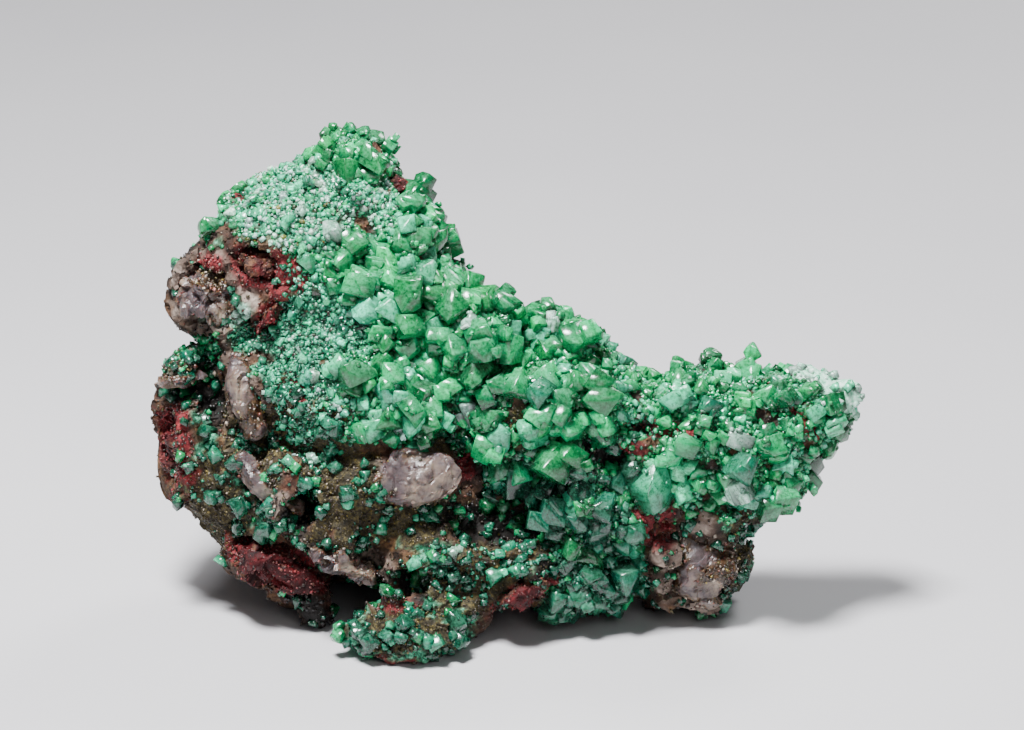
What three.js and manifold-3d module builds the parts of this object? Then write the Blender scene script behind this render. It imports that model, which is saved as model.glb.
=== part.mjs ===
// A hand specimen of zincolivenite: green crystals grown over a lump of red and brown iron-oxide rock
// that holds masses of pale quartz. Millimetres, +Z up, standing on its broken underside.
//
// Everything is placed on the display face: X to the right, Y up the face, Z out towards the viewer, with
// the lowest point of the front foot at Y = 0. The finished specimen is then stood up, leaning back.

import * as THREE from "three";
import { ConvexGeometry } from "three/addons/geometries/ConvexGeometry.js";
import { MeshSurfaceSampler } from "three/addons/math/MeshSurfaceSampler.js";
import { mergeVertices } from "three/addons/utils/BufferGeometryUtils.js";
import Module from "manifold-3d";

const wasm = await Module();
wasm.setup();

// Driving dimensions
const LEAN = 20; // degrees that the display face leans back from upright
const GAP = 0.3; // clearance between two minerals that meet
const REACH = 60; // longer than the specimen, for blocks and rays that have to pass it
const CRUST_FRONT = 8; // how far in front of the face the crusts may stand
const SEED = 1234;

// The form of the whole lump: chipped, uneven ellipsoids that run into each other. Each has its middle, its
// half sizes and its turn in the face, in degrees. A higher detail gives it more facets, and a lower broken
// larger flat breaks.
const BODY = {
  peak: { at: [-16.8, 36.2, -9.2], size: [10.4, 8.6, 7.0], detail: 2 },
  apex: { at: [-14.2, 42.6, -9.6], size: [4.6, 4.4, 4.2] },
  brow: { at: [-8.9, 36.4, -8.2], size: [3.3, 5.2, 5.6] },
  shoulder: { at: [-25.0, 33.0, -10.2], size: [4.8, 4.8, 5.6] },
  chest: { at: [-11.0, 30.5, -8.6], size: [9.0, 6.6, 7.8] },
  middle: { at: [-12.6, 24.0, -8.2], size: [11.4, 8.0, 8.0] },
  ridge: { at: [-3.4, 28.2, -7.2], size: [4.6, 4.8, 6.4] },
  saddle: { at: [1.6, 22.4, -7.4], size: [8.6, 6.0, 6.8] },
  bump: { at: [5.4, 26.6, -8.6], size: [6.6, 3.1, 5.0], turn: -24 },
  arm_root: { at: [8.2, 20.4, -7.4], size: [8.4, 6.4, 5.8] },
  arm: { at: [18.2, 20.6, -7.4], size: [9.6, 6.0, 5.0], detail: 2 },
  arm_tip: { at: [25.8, 22.4, -7.8], size: [4.6, 4.0, 3.6] },
  arm_underside: { at: [21.4, 16.8, -7.2], size: [5.2, 3.4, 3.8] },
  armpit: { at: [15.4, 14.0, -10.4], size: [6.8, 4.2, 5.4] },
  lower_right: { at: [7.4, 13.8, -9.2], size: [6.2, 5.0, 6.8] },
  base: { at: [5.6, 8.6, -10.8], size: [6.6, 4.6, 6.4] },
  corner: { at: [15.2, 9.4, -12.8], size: [6.8, 5.0, 6.9] },
  waist: { at: [-13.6, 15.6, -10.4], size: [10.4, 8.0, 9.0] },
  lower_middle: { at: [-4.0, 10.4, -9.8], size: [10.6, 5.8, 7.8] },
  flank: { at: [-24.1, 18.4, -13.2], size: [6.6, 11.2, 7.8], turn: 24 },
  ledge: { at: [-27.8, 25.6, -10.4], size: [2.7, 2.8, 3.8] },
  wedge: { at: [-20.4, 9.6, -11.8], size: [5.8, 3.2, 5.8], turn: -30 },
  spike: { at: [-17.2, 6.2, -9.8], size: [1.3, 2.6, 1.7], turn: 12 },
  foot: { at: [-9.0, 3.2, -4.4], size: [5.8, 3.6, 4.8] },
  ankle: { at: [-6.8, 6.6, -8.6], size: [5.8, 5.0, 6.0] },
  back: { at: [-13.4, 27.4, -14.6], size: [14.6, 13.6, 10.8], broken: 0.66 },
  back_right: { at: [4.4, 18.0, -12.0], size: [15.4, 10.4, 8.6], broken: 0.66 },
  heel: { at: [-10.4, 15.6, -19.0], size: [15.8, 12.6, 12.4], broken: 0.68 },
};

// Holes broken or dissolved out of the lump.
const CAVITIES = {
  vug: { at: [-10.2, 7.5, -2.0], size: [3.6, 1.9, 5.2], turn: -12, detail: 0 },
  cave: { at: [-0.8, 12.8, -1.8], size: [5.8, 2.3, 5.0], turn: -6, detail: 0 },
  cleft: { at: [-26.2, 24.2, -6.4], size: [1.6, 4.4, 4.0], turn: 12, detail: 0 },
  hollow: { at: [-18.0, 13.8, -2.8], size: [1.7, 2.6, 3.6], turn: -20, detail: 0 },
  fold: { at: [10.0, 16.8, -2.2], size: [1.7, 2.8, 3.2], turn: 20, detail: 0 },
};

// Pale quartz masses that stand in the rock.
const QUARTZ = {
  quartz_lens: { at: [-7.9, 16.8, -2.2], size: [4.3, 2.7, 3.0], turn: 6 },
  quartz_slab: { at: [-22.9, 23.6, -6.0], size: [1.7, 4.2, 3.0], turn: 14 },
  quartz_strip: { at: [-20.8, 15.8, -6.2], size: [4.2, 1.4, 2.8], turn: -42 },
  quartz_shoulder: { at: [-26.2, 32.5, -7.0], size: [3.3, 2.9, 3.0], turn: -15 },
  quartz_corner: { at: [16.6, 9.0, -8.6], size: [3.6, 3.9, 3.2], turn: -18 },
  quartz_rib: { at: [-14.4, 9.4, -5.2], size: [4.2, 1.4, 3.0], turn: -24 },
  quartz_ledge: { at: [-28.4, 25.2, -8.4], size: [2.4, 1.1, 2.4], turn: 8 },
};

// Lumps of red hematite.
const HEMATITE = {
  hematite_peak: { at: [-9.9, 41.9, -9.2], size: [1.6, 1.5, 1.9], turn: -35, detail: 0 },
  hematite_shoulder: { at: [-21.4, 35.4, -5.4], size: [2.8, 1.9, 2.4], turn: -8 },
  hematite_streak: { at: [-20.8, 30.6, -4.8], size: [1.0, 2.3, 2.0], turn: -38, detail: 0 },
  hematite_wedge: { at: [-20.0, 8.9, -8.4], size: [4.6, 2.0, 3.0], turn: -28 },
  hematite_edge: { at: [-29.0, 19.2, -10.6], size: [1.6, 3.4, 2.8], turn: 6 },
  hematite_rim: { at: [0.8, 6.7, -5.0], size: [2.9, 1.1, 2.6], turn: 28 },
  hematite_patch: { at: [12.8, 12.6, -7.8], size: [1.7, 2.3, 2.4], turn: 20 },
};

// The crusts of crystals: outlines on the face, how far back each goes, and the range of crystal sizes.
const CRUSTS = {
  crust_main: {
    crystal: [1.9, 3.2],
    parts: [
      {
        back: -11,
        outline: [
          [-27.6, 38.4], [-23.6, 37.8], [-18.9, 37.4], [-18.6, 32.6], [-21.0, 29.2], [-26.9, 29.6],
          [-26.5, 28.0], [-21.2, 27.4], [-20.2, 21.7], [-18.9, 19.5], [-15.4, 19.2], [-12.5, 20.2],
          [-5.0, 20.4], [-2.8, 18.6], [0.9, 17.2], [2.2, 14.2], [3.0, 10.9], [2.8, 3.2], [11.4, 3.2],
          [12.2, 7.2], [10.8, 9.6], [8.6, 36.0], [0.0, 50.0], [-30.0, 50.0],
        ],
      },
      {
        back: -8.8,
        outline: [
          [8.0, 9.6], [10.8, 9.6], [11.2, 14.6], [14.0, 15.2], [18.4, 13.6], [24.0, 11.6], [34.0, 18.0],
          [34.0, 32.0], [8.0, 32.0],
        ],
      },
    ],
  },
  crust_ledge: {
    crystal: [1.3, 1.9],
    parts: [{ back: -11.6, outline: [[-32.0, 30.6], [-27.2, 29.2], [-26.9, 26.9], [-32.0, 26.7]] }],
  },
  crust_flank: {
    crystal: [1.2, 2.0],
    parts: [
      {
        back: -10.6,
        outline: [
          [-26.9, 21.0], [-24.2, 18.2], [-19.9, 12.4], [-21.2, 11.6], [-24.9, 12.2], [-27.2, 15.4],
        ],
      },
    ],
  },
  crust_foot: {
    crystal: [1.5, 2.3],
    parts: [
      {
        back: -5.4,
        outline: [
          [-16.0, 4.4], [-12.8, 5.6], [-9.6, 4.9], [-6.4, 6.2], [-4.6, 4.6], [-3.0, 4.8], [-3.0, -2.0],
          [-16.0, -2.0],
        ],
      },
    ],
  },
  crust_apron: {
    crystal: [1.1, 1.8],
    parts: [
      { back: -6.4, outline: [[-8.6, 10.4], [-3.4, 11.0], [1.6, 9.8], [1.0, 8.4], [-3.0, 6.6], [-4.4, 5.6]] },
    ],
  },
  crust_corner: {
    crystal: [1.3, 2.0],
    parts: [{ back: -13.2, outline: [[20.2, 12.8], [25.0, 11.4], [25.0, 3.0], [18.8, 4.4], [19.4, 8.6]] }],
  },
};

// The crystals large enough to know one by one: across, up the face, and size.
const LARGE_CRYSTALS = [
  [-14.3, 46.0, 2.0], [-12.9, 45.6, 1.5], [-11.8, 44.3, 2.3], [-8.1, 40.4, 2.3], [-6.4, 39.0, 2.6],
  [-6.3, 37.8, 2.8], [-15.2, 37.9, 2.2], [-8.9, 38.5, 1.9], [-12.7, 32.7, 3.2], [-8.6, 32.7, 3.5],
  [-5.2, 33.6, 2.8], [-3.1, 33.0, 2.2], [-4.9, 31.2, 3.6], [-4.5, 28.1, 2.6], [-3.5, 26.8, 2.8],
  [-10.6, 28.4, 2.0], [-13.3, 26.0, 2.7], [-9.9, 25.6, 2.6], [-14.4, 35.4, 2.3], [-11.7, 35.2, 2.4],
  [-8.9, 34.6, 2.4], [-1.2, 30.8, 2.4], [-0.3, 28.4, 2.9], [2.2, 31.4, 1.7], [3.7, 31.4, 1.7],
  [5.4, 28.8, 2.8], [7.7, 23.5, 4.3], [0.4, 24.3, 2.7], [2.5, 24.3, 2.4], [3.0, 22.8, 2.6],
  [7.3, 29.1, 1.9], [23.6, 23.4, 2.3], [14.2, 23.4, 2.8], [17.0, 23.0, 1.8], [20.6, 26.0, 2.9],
  [19.4, 20.2, 2.4], [21.8, 19.9, 2.5], [15.2, 19.4, 2.5], [20.1, 18.4, 2.8], [19.8, 15.9, 3.0],
  [23.1, 14.9, 2.8], [11.9, 16.0, 4.0], [3.3, 17.8, 3.8], [6.1, 17.4, 2.9], [-10.4, 21.6, 2.4],
  [-8.4, 22.8, 2.8], [-6.8, 21.2, 2.4], [-15.0, 20.9, 2.1], [5.4, 10.6, 2.7], [7.3, 9.8, 2.5],
  [3.6, 14.4, 3.4], [6.6, 14.6, 2.8],
];
const SPACING = 1.0; // least distance between crystals, as a share of their size
const CANDIDATES = 800; // points tried on the surface for a crystal of ordinary size
const SUNK = 0.12; // how far a crystal's middle lies under the surface, as a share of its size
const SWAY = 1.7; // how far crystals lean at random: 0 would stand them straight off the surface
const MOSTLY_SMALL = 1.5; // over 1, the smaller crystal sizes are the more common
const SWELL = 0.08; // how uneven a lump is, as a share of its size

const MATERIALS = {
  rock: new THREE.MeshStandardMaterial({ color: 0x54372b, roughness: 0.95, flatShading: true }),
  quartz: new THREE.MeshStandardMaterial({ color: 0xb9a79c, roughness: 0.45, flatShading: true }),
  hematite: new THREE.MeshStandardMaterial({ color: 0x7c1f1e, roughness: 0.85, flatShading: true }),
  crust: new THREE.MeshStandardMaterial({ color: 0x33a56c, roughness: 0.25, flatShading: true }),
};

const radians = THREE.MathUtils.degToRad;

// Repeatable random numbers from 0 to 1.
function randomFrom(seed) {
  let state = seed;
  return () => {
    state = (state * 1664525 + 1013904223) >>> 0;
    return state / 2 ** 32;
  };
}

// One of a number of directions spread evenly over the sphere.
function spreadDirection(index, count, phase) {
  const rise = 1 - (2 * (index + 0.5)) / count;
  const angle = index * Math.PI * (3 - Math.sqrt(5)) + phase;
  const flat = Math.sqrt(1 - rise * rise);
  return new THREE.Vector3(flat * Math.cos(angle), flat * Math.sin(angle), rise);
}

// Small waves over a unit sphere, from about -1 to 1.
function unevenness(d, phase) {
  const coarse = Math.sin(3.3 * d.x + 2.1 * d.y + phase) + Math.sin(2.7 * d.y - 3.1 * d.z + 2 * phase);
  const fine = Math.sin(7.9 * d.z + 5.3 * d.x + phase) * Math.cos(6.7 * d.y - phase);
  return 0.4 * coarse + 0.35 * fine;
}

// Pushes a point of the unit sphere back to the flat breaks of a chipped stone, which lie at the distance
// broken from its middle.
function chip(d, phase, broken) {
  const breaks = 10;
  for (let i = 0; i < breaks; i++) {
    const facing = spreadDirection(i, breaks, phase);
    const beyond = d.dot(facing) - broken;
    if (beyond > 0) d.addScaledVector(facing, -beyond);
  }
  return d;
}

function lumpGeometry({ at, size, turn = 0, detail = 1, broken = 0.84 }, grow = 0) {
  const geometry = new THREE.IcosahedronGeometry(1, detail);
  const position = geometry.getAttribute("position");
  const phase = at[0] * 1.3 + at[1] * 0.7;
  const half = new THREE.Vector3(...size).addScalar(grow);
  const point = new THREE.Vector3();
  for (let i = 0; i < position.count; i++) {
    point.fromBufferAttribute(position, i);
    const swell = 1 + SWELL * unevenness(point, phase);
    chip(point.multiplyScalar(swell), phase, broken).multiply(half);
    position.setXYZ(i, point.x, point.y, point.z);
  }
  return geometry.rotateZ(radians(turn)).translate(...at);
}

// A blocky crystal: four prism faces, closed by a steep roof at each end.
function crystalGeometry(size, random) {
  const across = size * (0.42 + 0.12 * random());
  const deep = size * (0.4 + 0.12 * random());
  const tall = size * (0.46 + 0.16 * random());
  const edge = tall * (0.15 + 0.45 * random());
  const corners = [];
  for (const up of [-1, 1]) {
    corners.push(new THREE.Vector3(across, 0, up * tall), new THREE.Vector3(-across, 0, up * tall));
    corners.push(new THREE.Vector3(0, deep, up * edge), new THREE.Vector3(0, -deep, up * edge));
  }
  return new ConvexGeometry(corners);
}

// A block with the outline of a crust, from its back out past the front of the face.
function crustBlock({ outline, back }, grow = 0) {
  const shape = new THREE.Shape(outline.map(([across, up]) => new THREE.Vector2(across, up)));
  const bevel = { bevelEnabled: grow > 0, bevelSize: grow, bevelThickness: grow, bevelSegments: 1 };
  const geometry = new THREE.ExtrudeGeometry(shape, { depth: CRUST_FRONT - back, ...bevel });
  return geometry.translate(0, 0, back);
}

function solidOf(geometry) {
  const bare = geometry.clone();
  for (const name of Object.keys(bare.attributes)) {
    if (name !== "position") bare.deleteAttribute(name);
  }
  const merged = mergeVertices(bare, 1e-4);
  const vertProperties = merged.attributes.position.array;
  const triVerts = new Uint32Array(merged.index.array);
  return new wasm.Manifold(new wasm.Mesh({ numProp: 3, vertProperties, triVerts }));
}

function geometryOf(solid) {
  const mesh = solid.getMesh();
  const geometry = new THREE.BufferGeometry();
  geometry.setAttribute("position", new THREE.BufferAttribute(mesh.vertProperties, 3));
  geometry.setIndex(new THREE.BufferAttribute(mesh.triVerts, 1));
  geometry.computeVertexNormals();
  return geometry;
}

const union = (solids) => solids.reduce((whole, next) => whole.add(next));
const lump = (shape, grow = 0) => solidOf(lumpGeometry(shape, grow));
const lumps = (group, grow = 0) => union(Object.values(group).map((shape) => lump(shape, grow)));
const blocks = (crust, grow = 0) => union(crust.parts.map((part) => solidOf(crustBlock(part, grow))));
const largestOf = (solid) => solid.decompose().sort((a, b) => b.volume() - a.volume())[0];

// How deep a point lies in a lump: under 1 is inside.
function depthIn({ at, size, turn = 0 }, point) {
  const local = point.clone().sub(new THREE.Vector3(...at));
  local.applyAxisAngle(new THREE.Vector3(0, 0, 1), -radians(turn));
  return Math.hypot(local.x / size[0], local.y / size[1], local.z / size[2]);
}

// Whether a point of the surface lies in a block's outline, in front of its back.
function inBlock({ outline, back }, point) {
  if (point.z < back) return false;
  let inside = false;
  outline.forEach(([ax, ay], i) => {
    const [bx, by] = outline[(i + 1) % outline.length];
    const spans = ay > point.y !== by > point.y;
    if (spans && point.x < ax + ((bx - ax) * (point.y - ay)) / (by - ay)) inside = !inside;
  });
  return inside;
}

// The block under the plane that the specimen stands on, in the display face's own directions.
function floorBlock() {
  const block = new THREE.BoxGeometry(4 * REACH, 4 * REACH, REACH);
  return solidOf(block.translate(0, 0, -REACH / 2).rotateX(-radians(90 - LEAN)));
}

// Puts a crystal on the surface, its length leaning away from the surface's own direction.
function crystalAt(point, normal, size, random) {
  const geometry = crystalGeometry(size, random);
  const sway = new THREE.Vector3(random() - 0.5, random() - 0.5, random() - 0.5).multiplyScalar(SWAY);
  const axis = normal.clone().add(sway).normalize();
  geometry.rotateZ(random() * Math.PI * 2);
  geometry.applyQuaternion(new THREE.Quaternion().setFromUnitVectors(new THREE.Vector3(0, 0, 1), axis));
  const middle = point.clone().addScaledVector(normal, -SUNK * size);
  return solidOf(geometry.translate(middle.x, middle.y, middle.z));
}

// Every crystal, as { crust, point, size, solid }: the large ones, then ordinary ones between them.
function growCrystals(body) {
  const random = randomFrom(SEED);
  const mesh = new THREE.Mesh(geometryOf(body));
  const crustAt = (point) =>
    Object.keys(CRUSTS).find((name) => CRUSTS[name].parts.some((part) => inBlock(part, point)));
  const keptBare = [...Object.values(QUARTZ), ...Object.values(HEMATITE), ...Object.values(CAVITIES)];
  const bareMargin = 1.2; // how far past its own size such a lump or hole keeps crystals away
  const grown = [];
  const grow = (crust, point, normal, size) => {
    grown.push({ crust, point: point.clone(), size, solid: crystalAt(point, normal, size, random) });
  };

  const ray = new THREE.Raycaster();
  for (const [across, up, size] of LARGE_CRYSTALS) {
    ray.set(new THREE.Vector3(across, up, REACH), new THREE.Vector3(0, 0, -1));
    const hit = ray.intersectObject(mesh)[0];
    if (hit && crustAt(hit.point)) grow(crustAt(hit.point), hit.point, hit.face.normal, size);
  }

  const sampler = new MeshSurfaceSampler(mesh).setRandomGenerator(random).build();
  const point = new THREE.Vector3();
  const normal = new THREE.Vector3();
  for (let i = 0; i < CANDIDATES; i++) {
    sampler.sample(point, normal);
    const crust = crustAt(point);
    if (!crust || keptBare.some((shape) => depthIn(shape, point) < bareMargin)) continue;
    const [least, most] = CRUSTS[crust].crystal;
    const size = least + (most - least) * random() ** MOSTLY_SMALL;
    const clears = (other) => other.point.distanceTo(point) > SPACING * Math.max(other.size, size);
    if (grown.every(clears)) grow(crust, point, normal.normalize(), size);
  }
  return grown;
}

// The named solids: the quartz and hematite first, then the crusts and the rock, cut back to clear them.
function buildSpecimen() {
  const named = new Map();
  const floor = floorBlock();
  const body = lumps(BODY).subtract(lumps(CAVITIES)).subtract(floor);
  const crystals = growCrystals(body);

  const inclusions = { ...QUARTZ, ...HEMATITE };
  for (const [name, shape] of Object.entries(inclusions)) {
    const earlier = union([floor, ...named.values()]);
    named.set(name, largestOf(lump(shape).subtract(earlier)));
  }
  const inclusionRoom = lumps(inclusions, GAP);

  for (const [name, crust] of Object.entries(CRUSTS)) {
    const own = crystals.filter((crystal) => crystal.crust === name).map((crystal) => crystal.solid);
    const druse = union([body, ...own]).intersect(blocks(crust));
    named.set(name, largestOf(druse.subtract(inclusionRoom).subtract(floor)));
  }

  const crustRoom = union(Object.values(CRUSTS).map((crust) => blocks(crust, GAP)));
  named.set("rock", largestOf(body.subtract(crustRoom).subtract(inclusionRoom)));
  return named;
}

const specimen = new THREE.Group();
for (const [name, solid] of buildSpecimen()) {
  const mesh = new THREE.Mesh(geometryOf(solid), MATERIALS[name.split("_")[0]]);
  mesh.name = name;
  specimen.add(mesh);
}
specimen.rotation.x = radians(90 - LEAN);

// The origin is under the middle of the specimen, on the surface it stands on.
const middle = new THREE.Box3().setFromObject(specimen, true).getCenter(new THREE.Vector3());
specimen.position.set(-middle.x, -middle.y, 0);

export default specimen;
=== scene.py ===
"""Dresses the zincolivenite specimen: green crystals over red-brown rock, with quartz and hematite.

Everything built is in metres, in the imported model's frame. Places on the display face are in millimetres:
across the face to the right, up the face from the lowest point of the front foot, and out of it towards the
viewer.
"""

import logging
import math
from collections import defaultdict
from collections.abc import Iterable
from dataclasses import dataclass, field
from enum import Enum

import bmesh
import bpy
import numpy as np
from mathutils import Matrix, Vector, noise
from mathutils.bvhtree import BVHTree


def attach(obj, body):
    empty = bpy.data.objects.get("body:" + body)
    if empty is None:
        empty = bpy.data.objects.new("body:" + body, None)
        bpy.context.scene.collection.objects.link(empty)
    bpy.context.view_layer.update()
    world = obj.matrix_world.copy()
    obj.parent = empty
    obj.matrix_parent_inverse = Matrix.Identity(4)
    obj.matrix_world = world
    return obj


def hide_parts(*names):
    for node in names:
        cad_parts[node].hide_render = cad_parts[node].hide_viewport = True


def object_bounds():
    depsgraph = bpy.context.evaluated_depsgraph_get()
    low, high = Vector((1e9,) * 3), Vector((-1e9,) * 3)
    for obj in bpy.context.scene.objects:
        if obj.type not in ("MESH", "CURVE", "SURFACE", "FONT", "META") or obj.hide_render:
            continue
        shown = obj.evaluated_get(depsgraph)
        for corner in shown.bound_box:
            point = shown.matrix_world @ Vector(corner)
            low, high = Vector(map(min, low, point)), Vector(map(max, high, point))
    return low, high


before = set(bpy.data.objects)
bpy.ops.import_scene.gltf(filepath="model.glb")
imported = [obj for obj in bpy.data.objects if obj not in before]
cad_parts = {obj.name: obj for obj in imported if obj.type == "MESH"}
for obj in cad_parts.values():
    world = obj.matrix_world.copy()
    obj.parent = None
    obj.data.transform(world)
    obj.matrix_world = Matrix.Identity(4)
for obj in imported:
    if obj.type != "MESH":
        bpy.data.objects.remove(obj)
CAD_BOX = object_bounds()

MM = 0.001
SEED = 20
BODY = "root"
BOX_SPARE = 0.02  # how far a piece may pass the model's box, as a share of each side
VIEWER = 60.0  # mm out of the display face, in front of the whole specimen
OUTLINE = range(-6, 4)  # mm out of the display face, where its outline is looked for
PATCH_ROUGH = 0.9  # how uneven a patch's edge is, as a share of its reach
PATCH_BLUR = 0.14  # how softly a patch ends, as a share of its reach
PATCH_BACK = 13.0  # mm behind the display face's zero, where every patch ends
ROOF_SKEW = 0.25  # how far the faces of a crystal's roof are turned aside
CHIP_DEPTHS = (0.36, 0.5)  # how far from a crystal's middle its chips break off, as shares of its height
FROST_AND_TOP_HIGHLIGHT = 0.08  # how frosted the faces of green crystals are, and how strongly faces that point up are whitened as a painted highlight
FROST_AND_HIGHLIGHT_TINT = (0.55, 0.85, 0.7)  # what frost and the painted highlight are multiplied by on a crystal
MOST_FROST_AND_HIGHLIGHT = 0.8  # the most of a face's colour that frost and the painted highlight make up
SHADED_FOOT_LIGHT = 0.28  # how light a crystal is at its foot, where painted shade darkens it
TIP_LIGHT = 0.85  # how much lighter it gets towards its tip, as that painted shade fades
LIFT_SPREAD = 0.12  # how unevenly crystals stand off the surface, as a share of their size
KIN_REACH = (0.55, 0.55, 0.3)  # how far kin stand from their crystal along its axes, as shares of its size
KIN_SIZES = (0.4, 0.8)  # the sizes of kin, as shares of their crystal's
KIN_LIGHT = (0.75, 1.3)  # how much darker or lighter kin are

log = logging.getLogger("specimen")


class Tone(Enum):
    """The colours of the minerals, as sRGB values; the near-white one also stands for painted glints."""

    EMERALD = 0x009654
    LEAF = 0x02C076
    MINT = 0x56DCAC
    # near white: frosted crystals, and crystals whitened as painted glints
    FROST_AND_GLINT = 0xDEF6EC
    TEAL = 0x03604A
    SEA = 0x209472
    OLIVE = 0x463C16
    GOLD = 0x8C7A3A
    RUST = 0x6A3628
    BRICK = 0x8E2C30
    PINK = 0xC2807A
    BROWN = 0x33221A
    BLACK = 0x14100D
    CREAM = 0xC9B7A4

    @property
    def linear(self) -> np.ndarray:
        """The colour as linear red, green and blue."""
        return linear(self.value)


def linear(value: int) -> np.ndarray:
    """Turns an sRGB colour into linear light.

    Args:
        value: The colour as 0xRRGGBB.

    Returns:
        Red, green and blue from 0 to 1.
    """
    parts = np.array([value >> 16, (value >> 8) & 255, value & 255]) / 255
    return np.where(parts <= 0.04045, parts / 12.92, ((parts + 0.055) / 1.055) ** 2.4)


@dataclass(frozen=True)
class DisplayFace:
    """The face of the specimen that is shown, which leans back from upright.

    Attributes:
        lean: Degrees that it leans back.
        shift: Where its zero point lies in X and Y, in mm.
    """

    lean: float = 20.0
    shift: tuple[float, float] = (0.250, -16.990)

    @property
    def out(self) -> np.ndarray:
        """The direction out of the face, towards the viewer."""
        lean = math.radians(self.lean)
        return np.array([0.0, -math.cos(lean), math.sin(lean)])

    def place(self, across: float, up: float, out: float) -> np.ndarray:
        """Finds a point of the face in the model's frame.

        Args:
            across: Millimetres across the face.
            up: Millimetres up the face.
            out: Millimetres out of the face.

        Returns:
            The point, in metres.
        """
        lean = math.radians(self.lean)
        y = up * math.sin(lean) - out * math.cos(lean) + self.shift[1]
        z = up * math.cos(lean) + out * math.sin(lean)
        return np.array([across + self.shift[0], y, z]) * MM

    def measure(self, points: np.ndarray) -> np.ndarray:
        """Measures points of the model on the face.

        Args:
            points: Points in metres, one a row.

        Returns:
            Each point's millimetres across, up and out of the face.
        """
        lean = math.radians(self.lean)
        x, y, z = (points / MM).T
        y = y - self.shift[1]
        up = y * math.sin(lean) + z * math.cos(lean)
        out = -y * math.cos(lean) + z * math.sin(lean)
        return np.stack([x - self.shift[0], up, out], axis=1)


FACE = DisplayFace()


def room() -> tuple[np.ndarray, np.ndarray]:
    """Finds the box that every piece stays in, which ends at the floor.

    Returns:
        Its lowest and its highest corner, in metres.
    """
    low, high = (np.array(corner) for corner in CAD_BOX)
    spare = (high - low) * BOX_SPARE
    return np.array([low[0] - spare[0], low[1] - spare[1], 0.0]), high + spare


@dataclass(frozen=True)
class Patch:
    """An oval part of the display face.

    Attributes:
        at: Its middle, in mm across and up the face.
        reach: Its half sizes, in mm.
        turn: Degrees that it is turned.
    """

    at: tuple[float, float]
    reach: tuple[float, float]
    turn: float = 0.0

    def depth(self, face_points: np.ndarray) -> np.ndarray:
        """Says how far inside the patch points lie.

        Args:
            face_points: Points measured on the face.

        Returns:
            1 at the middle, 0 at the edge and less outside.
        """
        turn = math.radians(self.turn)
        x = face_points[:, 0] - self.at[0]
        y = face_points[:, 1] - self.at[1]
        along = (x * math.cos(turn) + y * math.sin(turn)) / self.reach[0]
        aside = (-x * math.sin(turn) + y * math.cos(turn)) / self.reach[1]
        return 1 - np.hypot(along, aside)


@dataclass(frozen=True)
class Zone:
    """A part of a crust with its own crystals.

    Attributes:
        patch: Where it is.
        tones: The colours of its crystals and how common each is.
        size: The smallest and largest crystal, in mm.
        small: The smallest and largest of the crystals that fill the gaps, in mm.
        cover: How much of it the crystals cover.
    """

    patch: Patch
    tones: dict[Tone, float]
    size: tuple[float, float]
    small: tuple[float, float] = (0.22, 0.75)
    cover: float = 1.0


FINE = (0.18, 0.46)
EMERALDS = {Tone.EMERALD: 6, Tone.LEAF: 6, Tone.MINT: 2}
GREENS = {Tone.LEAF: 6, Tone.EMERALD: 4, Tone.MINT: 4, Tone.FROST_AND_GLINT: 0.2}
PALE = {Tone.MINT: 8, Tone.LEAF: 2, Tone.FROST_AND_GLINT: 6, Tone.SEA: 2, Tone.GOLD: 0.6, Tone.OLIVE: 0.4}
GREYISH = {Tone.SEA: 6, Tone.MINT: 5, Tone.TEAL: 3, Tone.FROST_AND_GLINT: 1.2, Tone.BROWN: 0.4}
DEEP = {Tone.TEAL: 6, Tone.EMERALD: 4, Tone.LEAF: 2, Tone.SEA: 2}
BLUISH = {Tone.TEAL: 8, Tone.SEA: 3, Tone.LEAF: 0.6, Tone.MINT: 0.3}

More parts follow.
